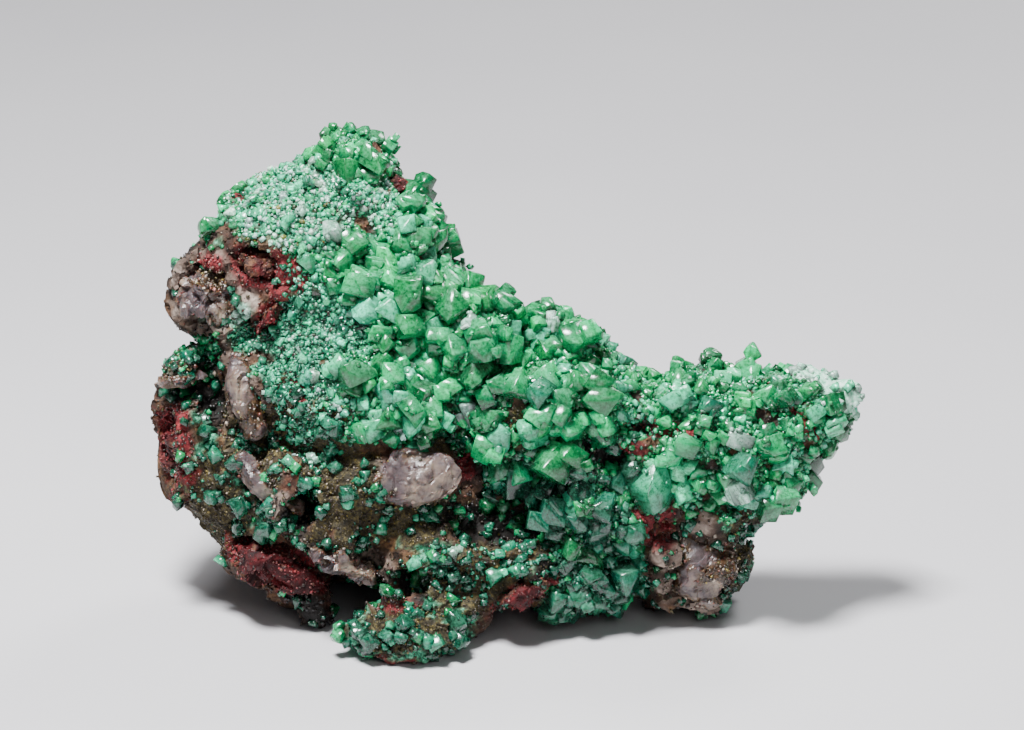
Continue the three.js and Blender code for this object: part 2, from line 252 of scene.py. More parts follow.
ZONES = {
    "peak_druse": Zone(Patch((-18.0, 40.6), (8.6, 4.4)), PALE, (0.3, 1.0), FINE),
    "apex": Zone(Patch((-13.4, 45.0), (3.8, 2.8)), EMERALDS, (0.9, 2.2)),
    "peak_right": Zone(Patch((-7.4, 38.2), (2.6, 4.6)), EMERALDS, (1.2, 3.0)),
    "peak_left": Zone(Patch((-25.4, 39.0), (2.2, 3.0)), GREENS, (0.7, 1.8)),
    "centre": Zone(Patch((-11.4, 34.8), (6.2, 3.8)), GREENS, (0.7, 2.4)),
    "grey_druse": Zone(Patch((-17.6, 30.6), (4.8, 4.0)), GREYISH, (0.3, 1.0), FINE),
    "ridge": Zone(Patch((-3.4, 30.2), (5.0, 4.6)), EMERALDS, (1.0, 3.0)),
    "bump": Zone(Patch((4.8, 28.6), (5.4, 3.0)), GREENS, (0.7, 2.0)),
    "band": Zone(Patch((-8.4, 24.6), (6.6, 3.2)), GREENS, (0.7, 2.6)),
    "left_druse": Zone(Patch((-17.6, 24.0), (3.6, 4.4)), GREYISH, (0.35, 1.2), FINE),
    "saddle": Zone(Patch((3.0, 23.2), (5.6, 3.8)), EMERALDS, (0.8, 2.6)),
    "arm": Zone(Patch((17.6, 22.6), (9.2, 4.4)), GREENS, (0.5, 1.9), (0.2, 0.6)),
    "arm_low": Zone(Patch((18.6, 17.0), (6.6, 3.4)), GREENS, (0.6, 2.2), (0.2, 0.6)),
    "lower_right": Zone(Patch((6.2, 15.2), (6.0, 5.4)), DEEP, (0.8, 2.6), cover=0.85),
    "base": Zone(Patch((7.4, 8.2), (5.4, 4.2)), BLUISH, (0.7, 2.2), cover=0.7),
    "foot": Zone(Patch((-9.0, 3.0), (5.6, 3.4)), BLUISH, (0.7, 2.4), cover=0.22),
    "flank": Zone(Patch((-24.4, 15.4), (4.0, 6.0)), BLUISH, (0.6, 2.2), cover=0.25),
    "apron": Zone(Patch((-3.4, 8.6), (5.4, 3.0)), GREYISH, (0.5, 1.5), FINE, cover=0.5),
    "corner": Zone(Patch((21.4, 9.0), (2.2, 5.0)), BLUISH, (0.6, 1.8), cover=0.45),
    "ledge": Zone(Patch((-29.0, 28.4), (3.0, 2.0)), GREENS, (0.4, 1.2), FINE),
}

# The crystals large enough to know one by one: across and up the face, size, and colour. The near-white ones
# are painted glints: whole crystals whitened where a face flashes.
LARGE_CRYSTALS = (
    (-14.3, 46.0, 2.1, Tone.EMERALD), (-12.9, 45.4, 1.6, Tone.LEAF), (-11.8, 44.0, 2.4, Tone.EMERALD),
    (-8.3, 40.2, 2.5, Tone.LEAF), (-6.6, 38.8, 2.8, Tone.EMERALD), (-6.7, 37.2, 3.2, Tone.EMERALD),
    (-15.2, 37.9, 2.0, Tone.FROST_AND_GLINT), (-8.9, 38.2, 1.9, Tone.MINT), (-12.7, 32.7, 3.2, Tone.LEAF),
    (-8.6, 32.6, 3.6, Tone.EMERALD), (-5.2, 33.4, 2.8, Tone.LEAF), (-4.9, 31.2, 3.4, Tone.EMERALD),
    (-3.0, 32.8, 2.0, Tone.FROST_AND_GLINT), (-4.5, 28.1, 2.6, Tone.LEAF), (-3.3, 30.2, 1.9, Tone.FROST_AND_GLINT),
    (-10.6, 28.4, 2.0, Tone.EMERALD), (-13.3, 25.8, 2.8, Tone.EMERALD), (-9.9, 25.4, 2.7, Tone.LEAF),
    (-14.4, 35.4, 2.2, Tone.LEAF), (-11.7, 35.2, 2.3, Tone.LEAF), (-8.9, 34.8, 2.3, Tone.MINT),
    (-0.8, 30.6, 2.8, Tone.EMERALD), (-0.3, 28.0, 3.2, Tone.LEAF), (2.2, 31.2, 1.8, Tone.LEAF),
    (3.6, 30.0, 1.7, Tone.FROST_AND_GLINT), (5.4, 28.8, 2.8, Tone.LEAF), (7.7, 23.5, 4.2, Tone.EMERALD),
    (3.2, 31.4, 1.8, Tone.EMERALD), (4.8, 30.6, 1.9, Tone.LEAF), (-14.0, 46.6, 2.0, Tone.EMERALD),
    (0.4, 24.3, 2.9, Tone.LEAF), (2.6, 24.0, 2.6, Tone.SEA), (3.4, 22.2, 2.6, Tone.LEAF),
    (7.3, 28.6, 1.9, Tone.MINT), (23.6, 23.4, 2.5, Tone.LEAF), (14.2, 23.4, 3.0, Tone.MINT),
    (17.0, 23.0, 1.9, Tone.SEA), (20.6, 25.4, 3.0, Tone.LEAF), (19.4, 20.0, 2.5, Tone.FROST_AND_GLINT),
    (22.0, 19.6, 2.6, Tone.LEAF), (15.2, 19.4, 2.6, Tone.LEAF), (20.2, 17.8, 2.9, Tone.SEA),
    (19.8, 15.8, 3.0, Tone.FROST_AND_GLINT), (23.1, 14.9, 2.8, Tone.LEAF), (11.9, 16.0, 4.2, Tone.MINT),
    (3.3, 17.6, 4.0, Tone.EMERALD), (0.4, 16.6, 3.0, Tone.TEAL), (6.1, 15.4, 3.0, Tone.TEAL),
    (-10.4, 21.6, 2.6, Tone.EMERALD), (-8.4, 22.6, 3.0, Tone.LEAF), (-6.8, 21.2, 2.6, Tone.EMERALD),
    (-15.0, 20.9, 2.2, Tone.SEA), (5.4, 10.6, 3.0, Tone.EMERALD), (7.3, 9.8, 2.8, Tone.EMERALD),
    (3.6, 14.0, 3.2, Tone.TEAL), (9.6, 8.0, 3.0, Tone.TEAL), (-11.9, 3.0, 2.2, Tone.TEAL),
    (-9.0, 4.2, 2.0, Tone.TEAL), (-14.6, 3.4, 1.6, Tone.LEAF), (-6.2, 2.8, 1.8, Tone.SEA),
    (-1.6, 15.0, 2.0, Tone.TEAL), (-26.6, 21.4, 1.9, Tone.TEAL), (-25.4, 18.6, 1.7, Tone.SEA),
    (-23.6, 14.2, 2.0, Tone.TEAL), (-18.4, 17.6, 1.2, Tone.LEAF), (-17.4, 10.6, 1.1, Tone.LEAF),
)

RED_PATCHES = (
    Patch((-29.0, 19.6), (1.5, 4.6), 6), Patch((-20.6, 34.6), (3.8, 1.8), -10),
    Patch((-21.0, 30.6), (0.8, 2.6), -36), Patch((-20.0, 8.8), (4.6, 2.0), -28),
    Patch((1.0, 6.4), (3.4, 0.9), 26), Patch((-10.6, 0.6), (3.6, 0.8), -6),
    Patch((-18.0, 24.2), (0.9, 1.2)), Patch((12.6, 12.6), (1.7, 2.4), 20),
    Patch((13.0, 20.8), (3.0, 0.9), -8), Patch((-9.6, 5.9), (2.2, 0.6)), Patch((-3.9, 17.8), (0.9, 1.3)),
    Patch((6.0, 5.0), (2.2, 0.8), 30), Patch((12.4, 27.4), (2.4, 0.6), -24), Patch((5.8, 15.6), (0.8, 0.7)),
    Patch((-26.0, 34.8), (1.6, 1.2)), Patch((-23.0, 41.0), (1.2, 0.7), 20),
    Patch((10.4, 19.0), (1.8, 0.9), -10), Patch((25.6, 21.0), (0.6, 2.0), 40),
)
OLIVE_PATCHES = (
    Patch((-22.0, 19.6), (3.4, 3.6), -30), Patch((-14.4, 15.4), (3.6, 5.6)),
    Patch((-12.6, 20.6), (2.6, 1.6)), Patch((-1.8, 21.0), (4.4, 1.8), -12), Patch((-2.8, 7.9), (6.0, 3.2)),
    Patch((-19.4, 23.0), (1.6, 2.6)), Patch((20.4, 9.4), (2.2, 4.4)), Patch((-25.6, 14.0), (3.2, 5.0), 30),
    Patch((-28.6, 26.6), (2.0, 1.4)), Patch((-6.4, 20.6), (1.6, 1.2)), Patch((-9.0, 3.6), (4.4, 2.4)),
    Patch((-8.6, 13.4), (4.4, 2.4)), Patch((2.2, 11.0), (2.6, 1.4)), Patch((-15.0, 21.6), (3.0, 1.4), -20),
)
# Clefts painted near black: painted shade.
SHADE_PATCHES = (Patch((-17.4, 5.6), (2.6, 1.3), -42), Patch((2.6, 8.0), (0.7, 2.2), -20))
# Hollows, pushed into the rock and also painted near black as painted shade.
CAVES = (
    Patch((-11.9, 7.3), (1.7, 1.5), -12), Patch((-8.6, 7.6), (1.6, 1.3)),
    Patch((-0.6, 12.8), (5.4, 2.0), -6), Patch((-26.2, 24.2), (1.2, 3.8), 12),
    Patch((-18.0, 13.8), (1.3, 2.3), -20), Patch((7.6, 18.6), (2.8, 1.2), -24),
    Patch((10.0, 16.8), (0.8, 2.0), 20), Patch((-28.6, 24.0), (2.2, 1.1)),
    Patch((-6.9, 30.0), (0.8, 3.2), 10), Patch((-2.4, 23.2), (1.8, 0.8), 10),
    Patch((10.6, 20.9), (1.6, 0.9), 0), Patch((0.4, 31.2), (0.9, 2.4), 12),
)
PALE_PATCHES = (Patch((27.8, 24.8), (5.4, 1.7), -38), Patch((-24.6, 30.8), (2.2, 1.0)))
STAINS = (
    Patch((20.0, 8.4), (2.8, 3.6)), Patch((-22.4, 21.4), (1.2, 2.6), -30),
    Patch((-25.8, 33.8), (1.8, 1.1), 20), Patch((14.6, 11.4), (1.6, 1.0)), Patch((-23.4, 35.0), (1.4, 0.9)),
)
STONE_PATCHES = (
    Patch((-25.6, 33.0), (3.6, 3.0), -14), Patch((-14.0, 9.6), (4.6, 1.6), -22),
    Patch((16.8, 9.2), (3.8, 4.0)),
)


def soft_step(values: np.ndarray, width: float) -> np.ndarray:
    """Rises smoothly from 0 to 1 about zero.

    Args:
        values: The values.
        width: How far from zero the rise starts and ends.

    Returns:
        A share from 0 to 1 for each value.
    """
    share = np.clip(values / (2 * width) + 0.5, 0, 1)
    return share * share * (3 - 2 * share)


def waves(points: np.ndarray, scale: float, octaves: int = 3) -> np.ndarray:
    """Smooth noise in space.

    Args:
        points: Points in metres, one a row.
        scale: The size of its largest features, in mm.
        octaves: How many finer layers it has.

    Returns:
        A value from about -1 to 1 for each point.
    """
    spread = points / (scale * MM)
    return np.array([noise.fractal(Vector(p), 0.9, 2.0, octaves) for p in spread])


def facets(points: np.ndarray, scale: float, seed: int) -> np.ndarray:
    """Flat chips that tilt at random, as on broken stone.

    Args:
        points: Points in metres, one a row.
        scale: The size of a chip, in mm.
        seed: Picks the chips.

    Returns:
        A height from about -1 to 1 for each point.
    """
    table = np.random.default_rng(seed).uniform(-1, 1, size=(16, 16, 16, 6))
    spread = points / (scale * MM)
    home = np.floor(spread).astype(int)
    nearest = np.full(len(points), np.inf)
    height = np.zeros(len(points))
    for step in np.ndindex(3, 3, 3):
        cell = home + step - 1
        chip = table[tuple((cell % len(table)).T)]
        away = spread - cell - 0.5 - 0.45 * chip[:, :3]
        distance = (away**2).sum(axis=1)
        closer = distance < nearest
        nearest = np.where(closer, distance, nearest)
        height = np.where(closer, (away * chip[:, 3:]).sum(axis=1), height)
    return height


def cover(patches: Iterable[Patch], face_points: np.ndarray, rough: np.ndarray) -> np.ndarray:
    """Says how far points of the face are covered by patches with uneven edges.

    Args:
        patches: The patches.
        face_points: Points measured on the face.
        rough: Noise at each point, which breaks up the edges.

    Returns:
        A share from 0 to 1 for each point.
    """
    depth = np.max([patch.depth(face_points) for patch in patches], axis=0)
    ahead = soft_step(face_points[:, 2] + PATCH_BACK, 1.5)
    return soft_step(depth + PATCH_ROUGH * rough, PATCH_BLUR) * ahead


class Sheet:
    """A material's nodes, with short ways to add and join them."""

    def __init__(self, name: str) -> None:
        """Starts a material with its shader.

        Args:
            name: The material's name.
        """
        self.material = bpy.data.materials.new(name)
        self.material.use_nodes = True
        self.nodes = self.material.node_tree.nodes
        self.links = self.material.node_tree.links
        self.shader = self.nodes["Principled BSDF"]
        self.place = self.nodes.new("ShaderNodeTexCoord").outputs["Object"]

    def set(self, **values: float) -> None:
        """Sets the shader's own sockets, with spaces in their names as underscores.

        Args:
            values: The value of each socket.
        """
        for name, value in values.items():
            self.shader.inputs[name.replace("_", " ")].default_value = value

    def join(self, source: bpy.types.NodeSocket, socket: str) -> None:
        """Links a value to a socket of the shader.

        Args:
            source: The value.
            socket: The socket's name.
        """
        self.links.new(source, self.shader.inputs[socket])

    def noise(
        self, scale: float, detail: float = 4.0, rough: float = 0.6, where: bpy.types.NodeSocket | None = None
    ) -> bpy.types.NodeSocket:
        """Adds a noise pattern.

        Args:
            scale: The size of its features, in mm.
            detail: How many finer layers it has.
            rough: How strong the finer layers are.
            where: The coordinates that it is laid over, in metres, if not the object's own.

        Returns:
            The pattern, about 0 to 1.
        """
        node = self.nodes.new("ShaderNodeTexNoise")
        node.inputs["Scale"].default_value = 1 / (scale * MM)
        node.inputs["Detail"].default_value = detail
        node.inputs["Roughness"].default_value = rough
        self.links.new(where or self.place, node.inputs["Vector"])
        return node.outputs["Fac"]

    def grains(self, scale: float) -> bpy.types.NodeSocket:
        """Adds a pattern of grains.

        Args:
            scale: The size of a grain, in mm.

        Returns:
            The distance to each grain's middle.
        """
        node = self.nodes.new("ShaderNodeTexVoronoi")
        node.inputs["Scale"].default_value = 1 / (scale * MM)
        self.links.new(self.place, node.inputs["Vector"])
        return node.outputs["Distance"]

    def ramp(self, value: bpy.types.NodeSocket, stops: dict[float, int]) -> bpy.types.NodeSocket:
        """Turns a value into a colour.

        Args:
            value: The value, from 0 to 1.
            stops: The sRGB colour at each value.

        Returns:
            The colour.
        """
        node = self.nodes.new("ShaderNodeValToRGB")
        elements = node.color_ramp.elements
        while len(elements) < len(stops):
            elements.new(0.5)
        for element, (at, colour) in zip(elements, sorted(stops.items())):
            element.position = at
            element.color = (*linear(colour), 1)
        self.links.new(value, node.inputs["Fac"])
        return node.outputs["Color"]

    def mix(
        self,
        share: bpy.types.NodeSocket | float,
        first: bpy.types.NodeSocket,
        second: bpy.types.NodeSocket,
        kind: str = "MIX",
    ) -> bpy.types.NodeSocket:
        """Mixes two colours.

        Args:
            share: How much of the second there is.
            first: The first colour.
            second: The second colour.
            kind: How they are mixed.

        Returns:
            The mixed colour.
        """
        node = self.nodes.new("ShaderNodeMix")
        node.data_type = "RGBA"
        node.blend_type = kind
        if isinstance(share, float):
            node.inputs["Factor"].default_value = share
        else:
            self.links.new(share, node.inputs["Factor"])
        self.links.new(first, node.inputs[6])
        self.links.new(second, node.inputs[7])
        return node.outputs[2]

    def attribute(self, name: str, output: str = "Fac") -> bpy.types.NodeSocket:
        """Reads a value that the mesh carries.

        Args:
            name: The attribute's name.
            output: Fac for a number, Color for a colour or Vector for a place.

        Returns:
            The value.
        """
        node = self.nodes.new("ShaderNodeAttribute")
        node.attribute_name = name
        return node.outputs[output]

    def bump(self, height: bpy.types.NodeSocket, depth: float, strength: float) -> None:
        """Roughens the surface, over any bump that it has already.

        Args:
            height: The pattern.
            depth: How deep it is, in mm.
            strength: How strong it looks.
        """
        node = self.nodes.new("ShaderNodeBump")
        node.inputs["Distance"].default_value = depth * MM
        node.inputs["Strength"].default_value = strength
        self.links.new(height, node.inputs["Height"])
        normal = self.shader.inputs["Normal"]
        if normal.is_linked:
            self.links.new(normal.links[0].from_socket, node.inputs["Normal"])
        self.links.new(node.outputs["Normal"], normal)


@dataclass(frozen=True)
class CrystalFinish:
    """Translucent green crystal, coloured face by face, with streaks along it and frosted pits."""

    name: str = "green_crystal"
    roughness: float = 0.18
    see_through: float = 0.25

    def material(self) -> bpy.types.Material:
        """Builds the material."""
        sheet = Sheet(self.name)
        streaks = sheet.noise(0.5, 5, 0.65, sheet.attribute("along", "Vector"))
        flaws = sheet.ramp(streaks, {0.34: 0x3A8A64, 0.5: 0xB4E0CC, 0.6: 0xFFFFFF})
        colour = sheet.mix(0.75, sheet.attribute("tone", "Color"), flaws, "MULTIPLY")
        pits = sheet.noise(0.26, 3, 0.7)
        mottles = sheet.ramp(pits, {0.36: 0x3C7E5E, 0.5: 0xFFFFFF})
        colour = sheet.mix(0.65, colour, mottles, "MULTIPLY")
        frost = sheet.ramp(streaks, {0.3: 0x36C88C, 0.7: 0xC0F2DC})
        frosted = sheet.ramp(pits, {0.54: 0x000000, 0.7: 0x6E6E6E})
        sheet.join(sheet.mix(frosted, colour, frost), "Base Color")
        sheet.set(Roughness=self.roughness, IOR=1.76, Transmission_Weight=self.see_through)
        sheet.set(Specular_IOR_Level=0.33, Subsurface_Weight=0.15, Subsurface_Scale=0.5 * MM)
        sheet.shader.inputs["Subsurface Radius"].default_value = (0.3, 1.0, 0.6)
        sheet.bump(streaks, 0.03, 0.3)
        sheet.bump(pits, 0.03, 0.35)
        return sheet.material


@dataclass(frozen=True)
class GrainFinish:
    """Small sparkling grains, coloured grain by grain."""

    name: str = "fine_grain"
    roughness: float = 0.35

    def material(self) -> bpy.types.Material:
        """Builds the material."""
        sheet = Sheet(self.name)
        cloud = sheet.ramp(sheet.noise(1.6, 5, 0.7), {0.3: 0x8E8E8A, 0.6: 0xFFFFFF})
        sheet.join(sheet.mix(0.8, sheet.attribute("tone", "Color"), cloud, "MULTIPLY"), "Base Color")
        sheet.set(Roughness=self.roughness, IOR=1.6)
        return sheet.material


@dataclass(frozen=True)
class RockFinish:
    """Iron-oxide rock: brown and black, with red, olive and green parts that the mesh's attributes give, and
    near-black painted shade in its hollows and clefts.
    """

    name: str = "iron_rock"

    def material(self) -> bpy.types.Material:
        """Builds the material."""
        sheet = Sheet(self.name)
        fine = sheet.noise(0.5, 6, 0.75)
        broad = sheet.noise(3.2, 6, 0.7)
        brown = sheet.ramp(broad, {0.34: 0x120D0A, 0.46: 0x33221A, 0.56: 0x573C2A, 0.7: 0x8A6A4A})
        speckle = sheet.ramp(fine, {0.3: 0x3A3632, 0.62: 0xFFFBF4})
        colour = sheet.mix(0.9, brown, speckle, "MULTIPLY")
        blotches = sheet.noise(5.5, 5, 0.65)
        ochre = sheet.ramp(fine, {0.34: 0x3A2410, 0.5: 0x7C5628, 0.66: 0xB08A50})
        colour = sheet.mix(sheet.ramp(blotches, {0.55: 0x000000, 0.66: 0x909090}), colour, ochre)
        rust = sheet.ramp(fine, {0.34: 0x24100B, 0.5: 0x5C281A, 0.66: 0x8E4A32})
        colour = sheet.mix(sheet.ramp(blotches, {0.36: 0x909090, 0.46: 0x000000}), colour, rust)
        layers = (
            ("stone", broad, {0.3: 0x33271F, 0.46: 0x5C4C43, 0.56: 0x84756B, 0.7: 0xAC9D92}),
            ("green", fine, {0.32: 0x0A2219, 0.48: 0x247052, 0.58: 0x5CB48E, 0.7: 0xB4E4CE}),
            ("olive", fine, {0.34: 0x0C0A05, 0.5: 0x2E2712, 0.66: 0x685C34}),
            ("red", fine, {0.32: 0x260C0D, 0.5: 0x66191E, 0.7: 0x9C3A3A}),
            ("pale", fine, {0.34: 0x3E8A6A, 0.46: 0x84C6A6, 0.56: 0xBCE4D0, 0.68: 0xE8F6F0}),
            # painted shade: near black in the hollows and clefts
            ("dark", fine, {0.3: 0x040302, 0.7: 0x17110D}),
        )
        for name, pattern, stops in layers:
            colour = sheet.mix(sheet.attribute(name), colour, sheet.ramp(pattern, stops))
        sheet.join(colour, "Base Color")
        sheet.set(Roughness=0.78, Specular_IOR_Level=0.4)
        sheet.bump(sheet.grains(0.4), 0.12, 0.6)
        sheet.bump(fine, 0.15, 0.7)
        return sheet.material


@dataclass(frozen=True)
class QuartzFinish:
    """Pale, waxy, slightly translucent quartz, stained by the rock round its edge."""

    name: str = "pale_quartz"

    def material(self) -> bpy.types.Material:
        """Builds the material."""
        sheet = Sheet(self.name)
        broad = sheet.ramp(
            sheet.noise(2.8, 5), {0.3: 0x3C3234, 0.45: 0x5C5054, 0.58: 0x7E7066, 0.74: 0xB4A794}
        )
        cloud = sheet.ramp(sheet.noise(0.7, 6, 0.75), {0.34: 0x84705F, 0.5: 0xF2EAE4, 1.0: 0xFFFFFF})
        clean = sheet.mix(0.8, broad, cloud, "MULTIPLY")
        rust = sheet.ramp(sheet.noise(0.5, 6, 0.75), {0.35: 0x16100A, 0.5: 0x443020, 0.68: 0x82664A})
        sheet.join(sheet.mix(sheet.attribute("stain"), clean, rust), "Base Color")
        sheet.set(Roughness=0.3, IOR=1.55, Transmission_Weight=0.1)
        sheet.set(Subsurface_Weight=0.3, Subsurface_Scale=0.7 * MM)
        sheet.bump(sheet.noise(0.4, 5, 0.7), 0.08, 0.6)
        return sheet.material


@dataclass(frozen=True)
class HematiteFinish:
    """Earthy red hematite with darker and pinker grains, brown where it meets the rock."""

    name: str = "red_hematite"

    def material(self) -> bpy.types.Material:
        """Builds the material."""
        sheet = Sheet(self.name)
        fine = sheet.noise(0.45, 6, 0.75)
        base = sheet.ramp(sheet.noise(2.0, 5), {0.32: 0x1C0609, 0.5: 0x480D12, 0.7: 0x70181F})
        speck = sheet.ramp(fine, {0.34: 0x261C1A, 0.52: 0xEEE2E0, 0.68: 0xFFE4DC})
        red = sheet.mix(0.9, base, speck, "MULTIPLY")
        brown = sheet.ramp(fine, {0.35: 0x140C0A, 0.5: 0x40261C, 0.68: 0x7A5238})
        sheet.join(sheet.mix(sheet.attribute("stain"), red, brown), "Base Color")
        sheet.set(Roughness=0.6, Specular_IOR_Level=0.25)
        sheet.bump(fine, 0.15, 0.8)
        return sheet.material


@dataclass(frozen=True)
class FloorFinish:
    """Plain pale paper."""

    name: str = "pale_floor"

    def material(self) -> bpy.types.Material:
        """Builds the material."""
        sheet = Sheet(self.name)
        tint = sheet.ramp(sheet.noise(60, 2), {0.3: 0xC2C1C5, 0.7: 0xC7C6C9})
        sheet.join(tint, "Base Color")
        sheet.set(Roughness=0.6)
        return sheet.material


@dataclass(frozen=True)
class Habit:
    """The form of a crystal: a four-sided prism that a low roof closes at its free end. Its height is 1.

    Attributes:
        across: Its longer width.
        deep: Its shorter width.
        roof: Degrees that the roof's faces slope, or 0 for a flat end.
        blunt: How far above the middle a flat end cuts the roof off.
        chips: How many pieces are broken off it.
        edge: The width of its worn edges, or 0 for sharp ones.
    """

    across: float
    deep: float
    roof: float
    blunt: float
    chips: int = 0
    edge: float = 0.0

    def build(self) -> bmesh.types.BMesh:
        """Builds the crystal."""
        bm = bmesh.new()
        bmesh.ops.create_cube(bm, size=1)
        bmesh.ops.scale(bm, verts=bm.verts, vec=(self.across, self.deep, 1))
        if self.roof > 0:
            slope = math.radians(self.roof)
            for side in (1, -1):
                facing = Vector((side * math.sin(slope), side * ROOF_SKEW, math.cos(slope)))
                self._cut(bm, Vector((0, 0, 0.5)), facing)
            self._cut(bm, Vector((0, 0, self.blunt)), Vector((0, 0, 1)))
        breaks = np.random.default_rng(round(1000 * self.across * self.deep))
        for _ in range(self.chips):
            facing = Vector(breaks.normal(size=3)).normalized()
            self._cut(bm, facing * breaks.uniform(*CHIP_DEPTHS), facing)
        if self.edge > 0:
            bmesh.ops.bevel(
                bm, geom=bm.edges[:], offset=self.edge, segments=1, profile=0.5, affect="EDGES", material=-1
            )
        bmesh.ops.recalc_face_normals(bm, faces=bm.faces)
        bm.verts.index_update()
        return bm

    @staticmethod
    def _cut(bm: bmesh.types.BMesh, at: Vector, facing: Vector) -> None:
        """Cuts off what lies beyond a plane and closes the cut.

        Args:
            bm: The crystal.
            at: A point of the plane.
            facing: The direction of what is cut off.
        """
        geometry = bm.verts[:] + bm.edges[:] + bm.faces[:]
        cut = bmesh.ops.bisect_plane(
            bm, geom=geometry, plane_co=at, plane_no=facing, clear_outer=True, dist=1e-5
        )
        edges = [item for item in cut["geom_cut"] if isinstance(item, bmesh.types.BMEdge)]
        if len(edges) > 2:
            bmesh.ops.contextual_create(bm, geom=edges)


@dataclass(frozen=True)
class Form:
    """A habit's mesh as arrays.

    Attributes:
        points: Its vertices.
        corners: The vertices of its faces, face after face.
        counts: Each face's number of corners.
        facing: Each face's direction.
    """

    points: np.ndarray
    corners: np.ndarray
    counts: np.ndarray
    facing: np.ndarray

    @classmethod
    def of(cls, habit: "Habit | Pebble") -> "Form":
        """Reads a habit's mesh."""
        bm = habit.build()
        form = cls(
            np.array([vert.co for vert in bm.verts]),
            np.array([vert.index for face in bm.faces for vert in face.verts]),
            np.array([len(face.verts) for face in bm.faces]),
            np.array([face.normal for face in bm.faces]),
        )
        bm.free()
        return form


BLOCKS = (
    Habit(0.92, 0.84, 12, 0.47, 0, 0.035),
    Habit(0.84, 0.78, 18, 0.44, 1, 0.035),
    Habit(1.00, 0.76, 10, 0.46, 1, 0.035),
    Habit(0.90, 0.88, 15, 0.42, 2, 0.035),
    Habit(0.80, 0.70, 24, 0.44, 1, 0.03),
    Habit(1.06, 0.92, 18, 0.38, 3, 0.03),
    Habit(0.98, 0.76, 14, 0.40, 4, 0.03),
    Habit(0.88, 0.94, 16, 0.40, 5, 0.025),
)
SMALL_BLOCKS = (
    Habit(0.90, 0.80, 20, 0.46),
    Habit(0.80, 0.62, 30, 0.44, 1),
    Habit(1.10, 0.84, 24, 0.36, 1),
    Habit(0.88, 0.72, 16, 0.42, 2),
)
FINE_BLOCKS = (Habit(0.95, 0.80, 0, 0.5), Habit(1.20, 0.90, 0, 0.5, 1))


@dataclass(frozen=True)
class Pebble:
    """The form of a fine grain, with eight faces. Its height is 1.

    Attributes:
        across: Its longer width.
        deep: Its shorter width.
    """

    across: float
    deep: float

    def build(self) -> bmesh.types.BMesh:
        """Builds the grain."""
        bm = bmesh.new()
        bmesh.ops.create_uvsphere(bm, u_segments=4, v_segments=2, radius=0.5)
        bmesh.ops.scale(bm, verts=bm.verts, vec=(self.across, self.deep, 1))
        bm.normal_update()
        bm.verts.index_update()
        return bm


PEBBLES = (Pebble(1.0, 0.8), Pebble(0.8, 0.7), Pebble(1.2, 0.9))


@dataclass
class Stand:
    """Where crystals stand, with one row for each.

    Attributes:
        feet: Where the surface is, in metres.
        normals: The surface's direction there.
        middles: Where their middles are, in metres.
        turns: Their own axes, as the columns of a matrix.
        sizes: Their heights, in metres.
        colours: Their linear colours.
    """

    feet: np.ndarray
    normals: np.ndarray
    middles: np.ndarray
    turns: np.ndarray
    sizes: np.ndarray
    colours: np.ndarray

    def rows(self, chosen: np.ndarray) -> "Stand":
        """Picks some of them.

        Args:
            chosen: Their rows.

        Returns:
            The ones picked.
        """
        parts = (self.feet, self.normals, self.middles, self.turns, self.sizes, self.colours)
        return Stand(*(part[chosen] for part in parts))

    def joined(self, others: "Stand") -> "Stand":
        """Puts others after them.

        Args:
            others: The others.

        Returns:
            Both together.
        """
        names = ("feet", "normals", "middles", "turns", "sizes", "colours")
        return Stand(*(np.concatenate([getattr(self, name), getattr(others, name)]) for name in names))


